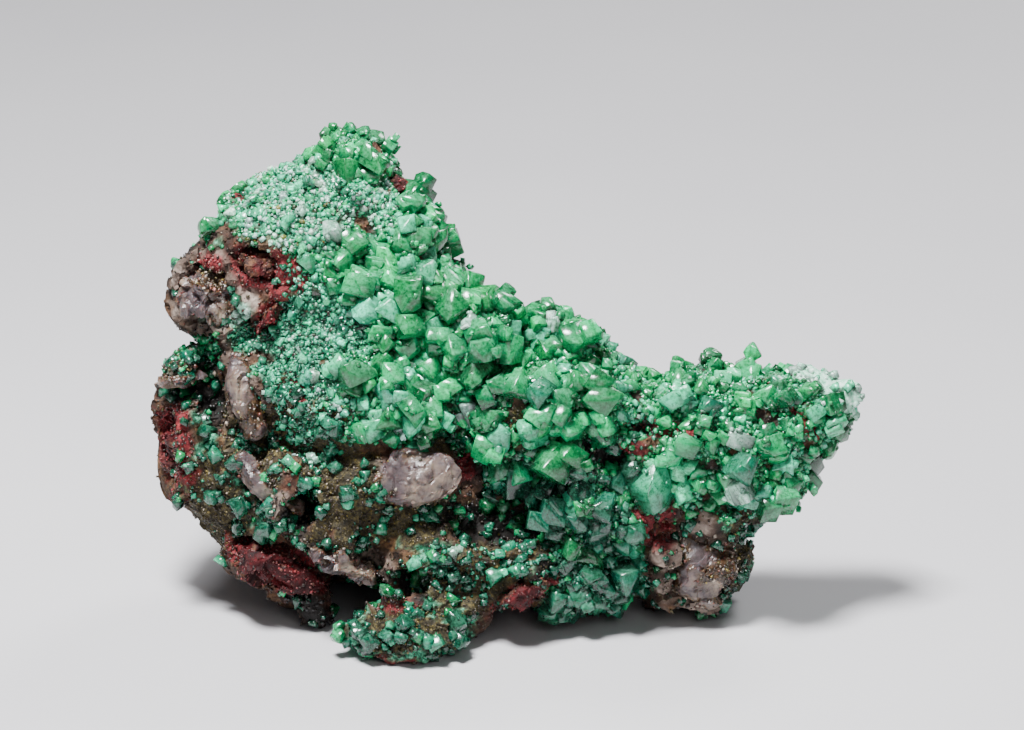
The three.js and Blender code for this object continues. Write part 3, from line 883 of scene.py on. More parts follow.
@dataclass
class Crystals:
    """Crystals that are joined in one mesh.

    Attributes:
        habits: The forms that they take.
        rng: The source of their variety.
        sway: How far they lean from the surface's direction.
        stand: How far their middles stand off the surface, as a share of their size.
        kin: The most crystals that grow in parallel with one of them.
        frost_and_top_highlight: How frosted their faces are, and how strongly faces that point up are
            whitened as a painted highlight.
        found: Those added: where each stands, its direction and its height, in metres, and its colour.
    """

    habits: tuple[Habit | Pebble, ...]
    rng: np.random.Generator
    sway: float = 0.5
    stand: float = 0.12
    kin: int = 0
    frost_and_top_highlight: float = FROST_AND_TOP_HIGHLIGHT
    found: list[tuple[np.ndarray, np.ndarray, float, np.ndarray]] = field(default_factory=list)

    def add(self, at: np.ndarray, normal: np.ndarray, size: float, colour: np.ndarray) -> None:
        """Adds a crystal.

        Args:
            at: Where it stands, in metres.
            normal: The surface's direction there.
            size: Its height in mm.
            colour: Its linear colour.
        """
        self.found.append((at, normal, size * MM, colour))

    def _raised(self) -> Stand:
        """Turns and raises every crystal on its spot."""
        feet, normals, sizes, colours = (np.array(part) for part in zip(*self.found))
        axes = normals + self.sway * self.rng.normal(size=normals.shape)
        axes /= np.linalg.norm(axes, axis=1, keepdims=True)
        aside = np.cross(axes, self.rng.normal(size=axes.shape))
        aside /= np.linalg.norm(aside, axis=1, keepdims=True)
        turns = np.stack([aside, np.cross(axes, aside), axes], axis=2)
        lift = self.stand + LIFT_SPREAD * self.rng.normal(size=len(sizes))
        return Stand(feet, normals, feet + normals * (lift * sizes)[:, None], turns, sizes, colours)

    def _with_kin(self, first: Stand) -> Stand:
        """Adds the crystals that grow in parallel with others.

        Args:
            first: The crystals on their own spots.

        Returns:
            All of them.
        """
        if self.kin == 0:
            return first
        numbers = self.rng.integers(self.kin + 1, size=len(first.sizes))
        kin = first.rows(np.repeat(np.arange(len(numbers)), numbers))
        steps = self.rng.uniform(-1, 1, size=(len(kin.sizes), 3)) * KIN_REACH
        kin.middles = kin.middles + np.einsum("nij,nj->ni", kin.turns, steps) * kin.sizes[:, None]
        kin.sizes = kin.sizes * self.rng.uniform(*KIN_SIZES, size=len(kin.sizes))
        kin.colours = kin.colours * self.rng.uniform(*KIN_LIGHT, size=(len(kin.sizes), 1))
        return first.joined(kin)

    def _colours(self, form: Form, crystals: Stand, placed: np.ndarray) -> np.ndarray:
        """Works out the colour of every corner: frosted faces, whitened more where they point up as a painted
        highlight, and feet darkened as painted shade.

        Args:
            form: The crystals' form.
            crystals: The crystals.
            placed: Their vertices.

        Returns:
            A colour for each corner of each face of each crystal.
        """
        # painted highlight: faces that point up are whitened more, over frost that varies at random
        upward = np.einsum("nj,fj->nf", crystals.turns[:, 2, :], form.facing)
        frost = self.frost_and_top_highlight * (1.6 * np.maximum(upward, 0) + 0.7 * self.rng.normal(size=upward.shape))
        face_of = np.repeat(np.arange(len(form.counts)), form.counts)
        frost = np.clip(frost, 0, MOST_FROST_AND_HIGHLIGHT)[:, face_of, None]
        # painted shade: each crystal darker towards its foot and lighter towards its tip
        height = np.einsum("nki,ni->nk", placed - crystals.feet[:, None], crystals.normals)
        light = SHADED_FOOT_LIGHT + TIP_LIGHT * np.clip(height / (0.7 * crystals.sizes[:, None]), 0, 1)
        pure = crystals.colours[:, None] * (1 - frost) + Tone.FROST_AND_GLINT.linear * FROST_AND_HIGHLIGHT_TINT * frost
        return (pure * light[:, form.corners, None]).reshape(-1, 3)

    @staticmethod
    def _fits(placed: np.ndarray) -> np.ndarray:
        """Says which crystals stay within the model's box.

        Args:
            placed: Each crystal's vertices.

        Returns:
            True for each crystal that does.
        """
        low, high = room()
        return ((placed > low) & (placed < high)).all(axis=(1, 2))

    def build(self, name: str) -> bpy.types.Object:
        """Joins the crystals in one object.

        Args:
            name: The object's name.

        Returns:
            The object.
        """
        everyone = self._with_kin(self._raised())
        kinds = self.rng.integers(len(self.habits), size=len(everyone.sizes))
        points, corners, counts, colours, along = [], [], [], [], []
        start = 0
        for kind, habit in enumerate(self.habits):
            form = Form.of(habit)
            crystals = everyone.rows(np.flatnonzero(kinds == kind))
            stretch = self.rng.uniform((0.78, 0.78, 0.75), (1.1, 1.1, 1.25), size=(len(crystals.sizes), 3))
            local = form.points[None] * (stretch * crystals.sizes[:, None])[:, None]
            placed = np.einsum("nij,nkj->nki", crystals.turns, local) + crystals.middles[:, None]
            inside = self._fits(placed)
            crystals, placed, local = crystals.rows(inside), placed[inside], local[inside]
            number = len(crystals.sizes)
            offsets = start + len(form.points) * np.arange(number)
            points.append(placed.reshape(-1, 3))
            corners.append((form.corners[None] + offsets[:, None]).ravel())
            counts.append(np.tile(form.counts, number))
            colours.append(self._colours(form, crystals, placed))
            streaks = local * (1, 1, 0.15) + self.rng.uniform(0, 100 * MM, size=(number, 1, 3))
            along.append(streaks.reshape(-1, 3))
            start += len(form.points) * number
        parts = (np.concatenate(part) for part in (points, corners, counts, colours, along))
        return shown(name, self._mesh(name, *parts))

    @staticmethod
    def _mesh(
        name: str,
        points: np.ndarray,
        corners: np.ndarray,
        counts: np.ndarray,
        colours: np.ndarray,
        along: np.ndarray,
    ) -> bpy.types.Mesh:
        """Makes a mesh from arrays.

        Args:
            name: Its name.
            points: Its vertices.
            corners: The vertices of its faces, face after face.
            counts: Each face's number of corners.
            colours: Each corner's colour.
            along: Each vertex's place in its crystal, pressed together along the crystal's height.

        Returns:
            The mesh.
        """
        mesh = bpy.data.meshes.new(name)
        mesh.vertices.add(len(points))
        mesh.loops.add(len(corners))
        mesh.polygons.add(len(counts))
        mesh.vertices.foreach_set("co", points.ravel())
        mesh.loops.foreach_set("vertex_index", corners)
        mesh.polygons.foreach_set("loop_start", np.concatenate([[0], np.cumsum(counts)[:-1]]))
        mesh.update(calc_edges=True)
        tone = mesh.attributes.new("tone", "FLOAT_COLOR", "CORNER")
        tone.data.foreach_set("color", np.column_stack([colours, np.ones(len(colours))]).ravel())
        mesh.attributes.new("along", "FLOAT_VECTOR", "POINT").data.foreach_set("vector", along.ravel())
        return mesh


def shown(name: str, mesh: bpy.types.Mesh) -> bpy.types.Object:
    """Puts a mesh in the scene.

    Args:
        name: The object's name.
        mesh: Its mesh.

    Returns:
        The object.
    """
    made = bpy.data.objects.new(name, mesh)
    bpy.context.scene.collection.objects.link(made)
    return made


def dress(piece: bpy.types.Object, material: bpy.types.Material, slot: str, *nodes: str) -> None:
    """Gives a piece its finish and its place in the frame, and reports it.

    Args:
        piece: The piece.
        material: Its finish.
        slot: The slot of that finish; not used.
        nodes: The solids that it stands for.
    """
    piece.data.materials.append(material)
    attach(piece, BODY)
    if nodes:
        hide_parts(*nodes)
    piece.data.calc_loop_triangles()
    log.info("%s: %d triangles", piece.name, len(piece.data.loop_triangles))


def merged_copy(names: Iterable[str], grow: float = 0.0) -> bmesh.types.BMesh:
    """Copies solids of the model, with their corners joined and their faces moved outwards.

    Args:
        names: The nodes.
        grow: How far the faces move, in mm.

    Returns:
        The copy.
    """
    whole = bmesh.new()
    for name in names:
        whole.from_mesh(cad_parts[name].data)
    bmesh.ops.remove_doubles(whole, verts=whole.verts, dist=0.002 * MM)
    whole.normal_update()
    for vert in whole.verts:
        vert.co += vert.normal * grow * MM
    return whole


def distances(names: Iterable[str], points: np.ndarray) -> np.ndarray:
    """Measures how far points are from solids of the model.

    Args:
        names: The nodes.
        points: The points, in metres.

    Returns:
        The distance of each point to the nearest of the solids, in mm.
    """
    tree = BVHTree.FromBMesh(merged_copy(names))
    return np.array([tree.find_nearest(Vector(point))[3] for point in points]) / MM


def remeshed(source: bmesh.types.BMesh, name: str, voxel: float) -> bpy.types.Mesh:
    """Turns solids into one even, closed mesh.

    Args:
        source: The solids.
        name: The mesh's name.
        voxel: The size of its faces, in mm.

    Returns:
        The mesh.
    """
    rough = bpy.data.meshes.new(name + "_rough")
    source.to_mesh(rough)
    source.free()
    holder = shown(name + "_rough", rough)
    modifier = holder.modifiers.new("even", "REMESH")
    modifier.mode = "VOXEL"
    modifier.voxel_size = voxel * MM
    graph = bpy.context.evaluated_depsgraph_get()
    mesh = bpy.data.meshes.new_from_object(holder.evaluated_get(graph))
    mesh.name = name
    bpy.data.objects.remove(holder)
    bpy.data.meshes.remove(rough)
    return mesh


def keep_largest(mesh: bpy.types.Mesh) -> None:
    """Removes every loose part of a mesh but the largest.

    Args:
        mesh: The mesh.
    """
    bm = bmesh.new()
    bm.from_mesh(mesh)
    unseen = set(bm.verts)
    parts = []
    while unseen:
        edge = [unseen.pop()]
        part = list(edge)
        while edge:
            near = {link.other_vert(vert) for vert in edge for link in vert.link_edges} & unseen
            unseen -= near
            edge = list(near)
            part += edge
        parts.append(part)
    parts.sort(key=len)
    loose = [vert for part in parts[:-1] for vert in part]
    bmesh.ops.delete(bm, geom=loose, context="VERTS")
    bm.to_mesh(mesh)
    bm.free()


class Surface:
    """A mesh's points, edges and directions as arrays, to shape it and to grow things on it."""

    smoothing: float = 0.6  # how far a round of smoothing moves a point to its neighbours' middle

    def __init__(self, mesh: bpy.types.Mesh) -> None:
        """Reads a mesh.

        Args:
            mesh: The mesh.
        """
        self.mesh = mesh
        self.points = self._read("co")
        self.edges = np.empty(len(mesh.edges) * 2, int)
        mesh.edges.foreach_get("vertices", self.edges)
        self.edges = self.edges.reshape(-1, 2)

    def _read(self, name: str) -> np.ndarray:
        """Reads a place or a direction of every vertex.

        Args:
            name: The property.

        Returns:
            Three numbers for each vertex.
        """
        values = np.empty(len(self.mesh.vertices) * 3)
        self.mesh.vertices.foreach_get(name, values)
        return values.reshape(-1, 3)

    @property
    def normals(self) -> np.ndarray:
        """The direction of the surface at each vertex."""
        return self._read("normal")

    def write(self) -> None:
        """Puts the points back in the mesh."""
        self.mesh.vertices.foreach_set("co", self.points.ravel())
        self.mesh.update()

    def smooth(self, rounds: int, share: np.ndarray | float = 1.0) -> None:
        """Evens out the surface.

        Args:
            rounds: How many times.
            share: How much of it applies at each vertex.
        """
        first, second = self.edges.T
        count = np.bincount(self.edges.ravel(), minlength=len(self.points))
        weight = np.broadcast_to(share, len(self.points))[:, None] * self.smoothing
        for _ in range(rounds):
            total = np.zeros_like(self.points)
            np.add.at(total, first, self.points[second])
            np.add.at(total, second, self.points[first])
            self.points += weight * (total / np.maximum(count, 1)[:, None] - self.points)
        self.write()

    def push(self, distance: np.ndarray) -> None:
        """Moves the surface along its own direction, and keeps it in its box.

        Args:
            distance: How far each vertex moves, in mm.
        """
        self.points = np.clip(self.points + self.normals * distance[:, None] * MM, *room())
        self.write()

    def tag(self, name: str, values: np.ndarray) -> None:
        """Stores a number for each vertex, for the material to read.

        Args:
            name: The attribute's name.
            values: The numbers.
        """
        self.mesh.attributes.new(name, "FLOAT", "POINT").data.foreach_set("value", values.astype(np.float32))

    def settle(self) -> None:
        """Reads the finished surface's triangles, so that things can grow on it."""
        self.mesh.calc_loop_triangles()
        corners = np.empty(len(self.mesh.loop_triangles) * 3, int)
        self.mesh.loop_triangles.foreach_get("vertices", corners)
        self.triangles = corners.reshape(-1, 3)
        placed = self.points[self.triangles]
        cross = np.cross(placed[:, 1] - placed[:, 0], placed[:, 2] - placed[:, 0])
        self.areas = np.linalg.norm(cross, axis=1) / 2 / MM**2
        self.tree = BVHTree.FromPolygons(self.points.tolist(), self.triangles.tolist())

    def sample(self, weights: np.ndarray, density: float, rng: np.random.Generator) -> "Seeds":
        """Picks points of the surface at random.

        Args:
            weights: How likely each vertex is, from 0 to 1.
            density: Points on each square millimetre where the weight is 1.
            rng: The source of randomness.

        Returns:
            The points.
        """
        share = weights[self.triangles].mean(axis=1) * self.areas
        picked = rng.choice(len(share), size=int(share.sum() * density), p=share / share.sum())
        mixed = rng.dirichlet((1, 1, 1), size=len(picked))[:, :, None]
        corners = self.triangles[picked]
        normals = (self.normals[corners] * mixed).sum(axis=1)
        normals /= np.linalg.norm(normals, axis=1, keepdims=True)
        return Seeds((self.points[corners] * mixed).sum(axis=1), normals, corners[:, 0])


@dataclass
class Seeds:
    """Points of a surface that crystals may grow from.

    Attributes:
        points: The points, in metres.
        normals: The surface's direction at each.
        vertices: The vertex of the surface nearest to each.
    """

    points: np.ndarray
    normals: np.ndarray
    vertices: np.ndarray


@dataclass
class Rock:
    """The lump's whole surface: the iron-oxide rock, and the ground that the crusts grow on.

    Attributes:
        voxel: The size of its faces, in mm.
        overlap: How far solids grow to close the clearance between them, in mm.
        chips: How deep the rock's breaks are, in mm.
        druse_depth: How far the ground of a crust lies under its crystals' tips, in mm.
        collar: How far the rock rises round the quartz and the hematite, in mm.
        collar_width: How wide that rise is, in mm.
        pale_sink: How far the pale parts lie under the solids' skin, in mm.
        cave_depth: How deep the dark hollows are, in mm.
        lumps: Lumps that join parts of the rock or top it: their place on the face and their radius, in mm.
    """

    voxel: float = 0.335
    overlap: float = 0.17
    chips: float = 0.55
    druse_depth: float = 0.5
    collar: float = 0.55
    collar_width: float = 0.9
    pale_sink: float = 0.1
    # cave_depth: How deep the hollows are, in mm; painted shade makes them near black.
    cave_depth: float = 1.5
    lumps: tuple[tuple[float, float, float, float], ...] = (
        (-23.6, 28.4, -9.5, 2.9), (-21.5, 27.5, -8.5, 2.5), (3.0, 29.7, -6.8, 2.1), (5.2, 28.9, -5.8, 1.9),
    )

    def __post_init__(self) -> None:
        """Builds the surface and the maps of what covers it."""
        self.crusts = sorted(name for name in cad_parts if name.startswith("crust_"))
        solids = merged_copy(["rock", *self.crusts], self.overlap)
        for *spot, radius in self.lumps:
            at = Matrix.Translation(FACE.place(*spot))
            bmesh.ops.create_icosphere(solids, subdivisions=3, radius=radius * MM, matrix=at)
        mesh = remeshed(solids, "rock_surface", self.voxel)
        keep_largest(mesh)
        self.surface = Surface(mesh)
        self.surface.smooth(2)
        points = self.surface.points
        from_crusts = np.array([distances([name], points) for name in self.crusts])
        self.nearest = from_crusts.argmin(axis=0)
        self.inside = distances(["rock"], points) - from_crusts.min(axis=0)
        pale = cover(PALE_PATCHES, FACE.measure(points), np.zeros(len(points)))
        green = soft_step(self.inside, 0.8)
        self.surface.smooth(8, green * (1 - pale))
        self._roughen(green * (1 - pale), (1 - green) * (1 - pale))
        self.surface.push(pale * (0.8 * facets(self.surface.points, 2.4, seed=7) - self.pale_sink))
        self.face_points = FACE.measure(self.surface.points)
        self.maps = self._maps()
        for name, values in self.maps.items():
            self.surface.tag(name, values)
        self.surface.settle()

    def _roughen(self, green: np.ndarray, bare: np.ndarray) -> None:
        """Gives the surface its breaks, and raises it round the quartz and the hematite.

        Args:
            green: How far each point lies under a crust's crystals.
            bare: How far each point is bare rock.
        """
        points = self.surface.points
        self.from_quartz = distances([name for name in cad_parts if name.startswith("quartz_")], points)
        from_red = distances([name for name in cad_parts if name.startswith("hematite_")], points)
        near = np.exp(-((np.minimum(self.from_quartz, from_red) / self.collar_width) ** 2))
        rise = self.collar * near * (0.7 + 0.9 * waves(points, 1.4))
        breaks = 1.8 * facets(points, 6.5, seed=4) + facets(points, 3.0, seed=1)
        breaks += 0.5 * facets(points, 1.3, seed=2)
        breaks += 0.8 * waves(points, 5.0, 4)
        druse = 0.35 * waves(points, 1.2) + 0.3 * facets(points, 1.6, seed=3)
        caves = self.cave_depth * cover(CAVES, FACE.measure(points), 0.4 * waves(points, 1.8))
        self.surface.push(self.chips * breaks * bare + (druse - self.druse_depth) * green + rise - caves)

    def _maps(self) -> dict[str, np.ndarray]:
        """Works out how red, olive, green or pale each point is, and where painted shade blackens it."""
        points = self.surface.points
        rough = waves(points, 1.8, 4) * 0.6
        edge = soft_step(self.inside + 2.4 * waves(points, 2.2), 0.6)
        gaps = soft_step(waves(points + 0.05, 2.6, 4) + 0.42, 0.12)
        maps = {
            "red": cover(RED_PATCHES, self.face_points, rough),
            "olive": cover(OLIVE_PATCHES, self.face_points, rough),
            # painted shade in the clefts and hollows
            "dark": cover(SHADE_PATCHES + CAVES, self.face_points, rough),
            "pale": cover(PALE_PATCHES, self.face_points, rough * 0.4),
            "stone": cover(STONE_PATCHES, self.face_points, rough),
            "green": edge * gaps,
        }
        by_quartz = soft_step(0.7 - self.from_quartz + 1.4 * waves(points, 1.6), 0.4)
        maps["stone"] = np.maximum(maps["stone"], by_quartz)
        clear = (1 - maps["pale"]) * (1 - maps["dark"])
        front = soft_step(self.face_points[:, 2] + 9, 3)
        bare = (1 - maps["green"]) * (1 - maps["olive"]) * (1 - 0.6 * maps["stone"]) * clear
        maps["bare"] = bare * (0.3 + 0.7 * front)
        maps["crusted"] = maps["green"] * (1 - 0.7 * maps["red"]) * (1 - 0.7 * maps["olive"]) * clear
        maps["strewn"] = bare * front * soft_step(waves(points - 0.05, 2.4) - 0.1, 0.15)
        maps["tufts"] = maps["olive"] * front * soft_step(waves(points + 0.08, 1.7, 4) - 0.16, 0.1)
        maps["collar"] = np.exp(-((self.from_quartz / 0.7) ** 2)) * front * (1 - maps["stone"] / 2)
        return maps

    def in_front(self, across: float, up: float) -> tuple[np.ndarray, np.ndarray, int]:
        """Finds the surface that a viewer sees at a place of the display face, or the nearest past its edge.

        Args:
            across: Millimetres across the face.
            up: Millimetres up the face.

        Returns:
            The point, the surface's direction there and its triangle.
        """
        start = Vector(FACE.place(across, up, VIEWER))
        tree = self.surface.tree
        hit, normal, triangle, _ = tree.ray_cast(start, Vector(-FACE.out))
        if hit is None:
            near = [tree.find_nearest(Vector(FACE.place(across, up, out))) for out in OUTLINE]
            hit, normal, triangle, _ = min(near, key=lambda found: found[3])
        return np.array(hit), np.array(normal), triangle

    def build(self, finish: RockFinish) -> None:
        """Puts the rock in the scene.

        Args:
            finish: Its finish.
        """
        dress(shown("rock_surface", self.surface.mesh), finish.material(), "rock", "rock")


@dataclass
class Crowd:
    """Crystals already placed, so that new ones keep clear of them.

    Attributes:
        spacing: The least distance between two, as a share of their mean size.
        cell: The size of the cubes that they are sorted into, in mm.
        cells: The crystals of each cube: their places and sizes, in mm.
    """

    spacing: float
    cell: float = 2.5
    cells: dict[tuple[int, ...], list[tuple[np.ndarray, float]]] = field(
        default_factory=lambda: defaultdict(list)
    )

    def admits(self, at: np.ndarray, size: float) -> bool:
        """Takes a crystal in if there is room for it.

        Args:
            at: Where it stands, in metres.
            size: Its size, in mm.

        Returns:
            Whether it was taken in.
        """
        spot = at / MM
        home = np.floor(spot / self.cell).astype(int)
        for step in np.ndindex(3, 3, 3):
            for other, other_size in self.cells.get(tuple(home + step - 1), ()):
                room = self.spacing * (size + other_size) / 2
                if ((spot - other) ** 2).sum() < room * room:
                    return False
        self.cells[tuple(home)].append((spot, size))
        return True


class Druse:
    """Every crust of crystals, grown on the rock's surface."""

    ordinary: float = 1.4  # candidates for ordinary crystals on each square mm
    small: float = 20.0  # candidates for small ones
    fine_size: float = 0.42  # mm, up to which crystals are plain blocks
    block_size: float = 0.85  # mm, from which on crystals have worn edges and grow in groups
    overgrown: float = 1.6  # mm, from which on small crystals grow on them
    alone: float = 0.86  # what a known crystal measures without its kin, as a share of the group
    jitter: float = 0.14  # how uneven the borders of zones are, as a share of their reach

    def __init__(self, rock: Rock, rng: np.random.Generator) -> None:
        """Prepares the crusts.

        Args:
            rock: The surface that they grow on.
            rng: The source of their variety.
        """
        self.rock = rock
        self.rng = rng
        self.crowd = Crowd(spacing=0.5)
        self.blocks = {name: Crystals(BLOCKS, rng, stand=0.06, kin=3) for name in rock.crusts}
        self.little = {name: Crystals(SMALL_BLOCKS, rng, sway=0.8, stand=0.04) for name in rock.crusts}
        self.fine = {name: Crystals(FINE_BLOCKS, rng, sway=1.0, stand=0.08) for name in rock.crusts}
        self.zones = list(ZONES.values())

    def zones_of(self, seeds: Seeds) -> np.ndarray:
        """Finds the zone of each point, with uneven borders.

        Args:
            seeds: The points.

        Returns:
            Each zone's place in the list.
        """
        face_points = FACE.measure(seeds.points)
        jitter = self.rng.normal(scale=self.jitter, size=(len(self.zones), len(face_points)))
        depth = np.array([zone.patch.depth(face_points) for zone in self.zones])
        return (depth + jitter).argmax(axis=0)

    def tint(self, tones: dict[Tone, float]) -> np.ndarray:
        """Picks a crystal's colour.

        Args:
            tones: The colours and how common each is.

        Returns:
            The linear colour, a little lighter or darker than its tone.
        """
        share = np.array(list(tones.values()))
        tone = list(tones)[self.rng.choice(len(share), p=share / share.sum())]
        return tone.linear * self.rng.uniform(0.55, 1.45) * self.rng.uniform(0.92, 1.08, size=3)

    def grow_large(self) -> None:
        """Places the crystals that are known one by one."""
        for across, up, size, tone in LARGE_CRYSTALS:
            at, normal, triangle = self.rock.in_front(across, up)
            self.crowd.admits(at, size)
            crust = self.rock.crusts[self.rock.nearest[self.rock.surface.triangles[triangle][0]]]
            self.blocks[crust].add(at, normal, self.alone * size, tone.linear)

    def grow_ordinary(self) -> None:
        """Grows crystals of ordinary size, the largest first."""
        seeds = self.rock.surface.sample(self.rock.maps["crusted"], self.ordinary, self.rng)
        zones = self.zones_of(seeds)
        low, high = np.array([self.zones[zone].size for zone in zones]).T
        self._place(seeds, zones, low + (high - low) * self.rng.random(len(zones)) ** 2, 1)

    def grow_small(self) -> None:
        """Fills the room between them with small crystals."""
        seeds = self.rock.surface.sample(self.rock.maps["crusted"], self.small, self.rng)
        zones = self.zones_of(seeds)
        low, high = np.array([self.zones[zone].small for zone in zones]).T
        self._place(seeds, zones, low + (high - low) * self.rng.random(len(zones)) ** 1.5, 3)

    def overgrow(self) -> None:
        """Grows small crystals on the sides of the largest ones."""
        for name, blocks in self.blocks.items():
            for at, normal, size, colour in blocks.found:
                if size < self.overgrown * MM:
                    continue
                for _ in range(self.rng.integers(1, 5)):
                    aside = np.cross(normal, self.rng.normal(size=3))
                    aside /= np.linalg.norm(aside)
                    outward = aside + self.rng.uniform(0, 1.2) * normal
                    outward /= np.linalg.norm(outward)
                    spot = at + size * (0.12 * normal + 0.42 * outward)
                    tint = colour * self.rng.uniform(0.8, 1.6)
                    self.little[name].add(spot, outward, self.rng.uniform(0.22, 0.6), tint)

    def _place(self, seeds: Seeds, zones: np.ndarray, sizes: np.ndarray, thin: int) -> None:
        """Places crystals where there is room, the largest first.

        Args:
            seeds: The points.
            zones: Each point's zone.
            sizes: The size that a crystal has there, in mm.
            thin: How strongly the zones' cover thins them out.
        """
        for i in np.argsort(-sizes):
            zone = self.zones[zones[i]]
            if self.rng.random() > zone.cover**thin or not self.crowd.admits(seeds.points[i], sizes[i]):
                continue
            crust = self.rock.crusts[self.rock.nearest[seeds.vertices[i]]]
            if sizes[i] < self.fine_size:
                crystals = self.fine[crust]
            else:
                crystals = (self.blocks if sizes[i] > self.block_size else self.little)[crust]
            crystals.add(seeds.points[i], seeds.normals[i], sizes[i], self.tint(zone.tones))

    def build(self, material: bpy.types.Material) -> None:
        """Grows the crusts and puts them in the scene.

        Args:
            material: Their finish.
        """
        self.grow_large()
        self.grow_ordinary()
        self.grow_small()
        self.overgrow()
        kinds = {"_crystals": self.blocks, "_druse": self.little, "_fine_druse": self.fine}
        for name in self.rock.crusts:
            nodes = [name]
            for kind, crystals in kinds.items():
                if crystals[name].found:
                    dress(crystals[name].build(name + kind), material, "crystal", *nodes)
                    nodes = []


@dataclass(frozen=True)
class Grains:
    """Fine grains or small crystals strewn over a surface.

    Attributes:
        name: The piece's name.
        ground: The map of where on the rock they lie, or nothing on quartz and hematite.
        tones: Their colours and how common each is.
        density: Grains on each square millimetre.
        size: The smallest and the largest grain, in mm.
        slot: The slot of their finish.
        habits: Their forms.
    """

    name: str
    ground: str
    tones: dict[Tone, float]
    density: float
    size: tuple[float, float]
    slot: str = "rock"
    habits: tuple[Habit | Pebble, ...] = PEBBLES

    def build(
        self, surface: Surface, weights: np.ndarray, rng: np.random.Generator, material: bpy.types.Material
    ) -> None:
        """Strews the grains and puts them in the scene.

        Args:
            surface: The surface that they lie on.
            weights: How likely they are at each of its vertices.
            rng: The source of their variety.
            material: Their finish.
        """
        seeds = surface.sample(weights, self.density, rng)
        number = len(seeds.points)
        share = np.array(list(self.tones.values()))
        palette = np.array([tone.linear for tone in self.tones])
        colours = palette[rng.choice(len(share), size=number, p=share / share.sum())]
        colours = colours * rng.uniform(0.5, 1.5, size=(number, 1))
        sizes = self.size[0] + (self.size[1] - self.size[0]) * rng.random(number) ** 2
        frost_and_top_highlight = FROST_AND_TOP_HIGHLIGHT if self.slot == "crystal" else 0.0
        grains = Crystals(self.habits, rng, sway=1.2, stand=0.1, frost_and_top_highlight=frost_and_top_highlight)
        for row in zip(seeds.points, seeds.normals, sizes, colours):
            grains.add(*row)
        dress(grains.build(self.name), material, self.slot)


REDS = {Tone.BRICK: 6, Tone.RUST: 3, Tone.PINK: 0.8, Tone.BROWN: 3}
DUST = {Tone.CREAM: 4, Tone.BROWN: 4, Tone.RUST: 3, Tone.OLIVE: 4, Tone.PINK: 0.6, Tone.GOLD: 1}
# the cream grains among the olive ones are partly painted glints, for the sparkle of the olive druse
OLIVES = {Tone.OLIVE: 6, Tone.GOLD: 2, Tone.BROWN: 6, Tone.CREAM: 0.7}
BROWNS = {Tone.BROWN: 7, Tone.RUST: 3, Tone.OLIVE: 4, Tone.CREAM: 0.2}
# near-black grains strewn in the clefts and hollows as painted shade
SHADE_GRAIN_TONES = {Tone.BLACK: 6, Tone.BROWN: 4, Tone.TEAL: 0.5}
COLLARS = {Tone.OLIVE: 5, Tone.BROWN: 5, Tone.RUST: 2, Tone.CREAM: 2}
FROSTED = {Tone.FROST_AND_GLINT: 6, Tone.MINT: 3}
GAPS = {
    Tone.RUST: 3, Tone.OLIVE: 3, Tone.SEA: 3, Tone.MINT: 3, Tone.TEAL: 3, Tone.BROWN: 4, Tone.FROST_AND_GLINT: 0.5,
}
GRAINS = (
    Grains("olive_grains", "olive", OLIVES, 13, (0.12, 0.36)),
    Grains("bare_grains", "bare", BROWNS, 3.4, (0.12, 0.5)),
    Grains("red_grains", "red", REDS, 8, (0.12, 0.4)),
    Grains("dark_grains", "dark", SHADE_GRAIN_TONES, 5, (0.14, 0.6)),
    Grains("crust_grains", "crusted", GAPS, 4, (0.14, 0.36)),
    Grains("collar_grains", "collar", COLLARS, 6, (0.2, 0.6)),
    Grains("collar_crystals", "collar", BLUISH, 0.7, (0.35, 1.0), "crystal", SMALL_BLOCKS),
    Grains("stray_crystals", "tufts", BLUISH, 3.2, (0.3, 1.2), "crystal", SMALL_BLOCKS),
    Grains("strewn_crystals", "strewn", DEEP, 1.0, (0.3, 1.2), "crystal", SMALL_BLOCKS),
    Grains("cave_crystals", "dark", DEEP, 0.5, (0.4, 1.5), "crystal", SMALL_BLOCKS),
    Grains("pale_crystals", "pale", FROSTED, 1.4, (0.25, 0.9), "crystal", SMALL_BLOCKS),
)


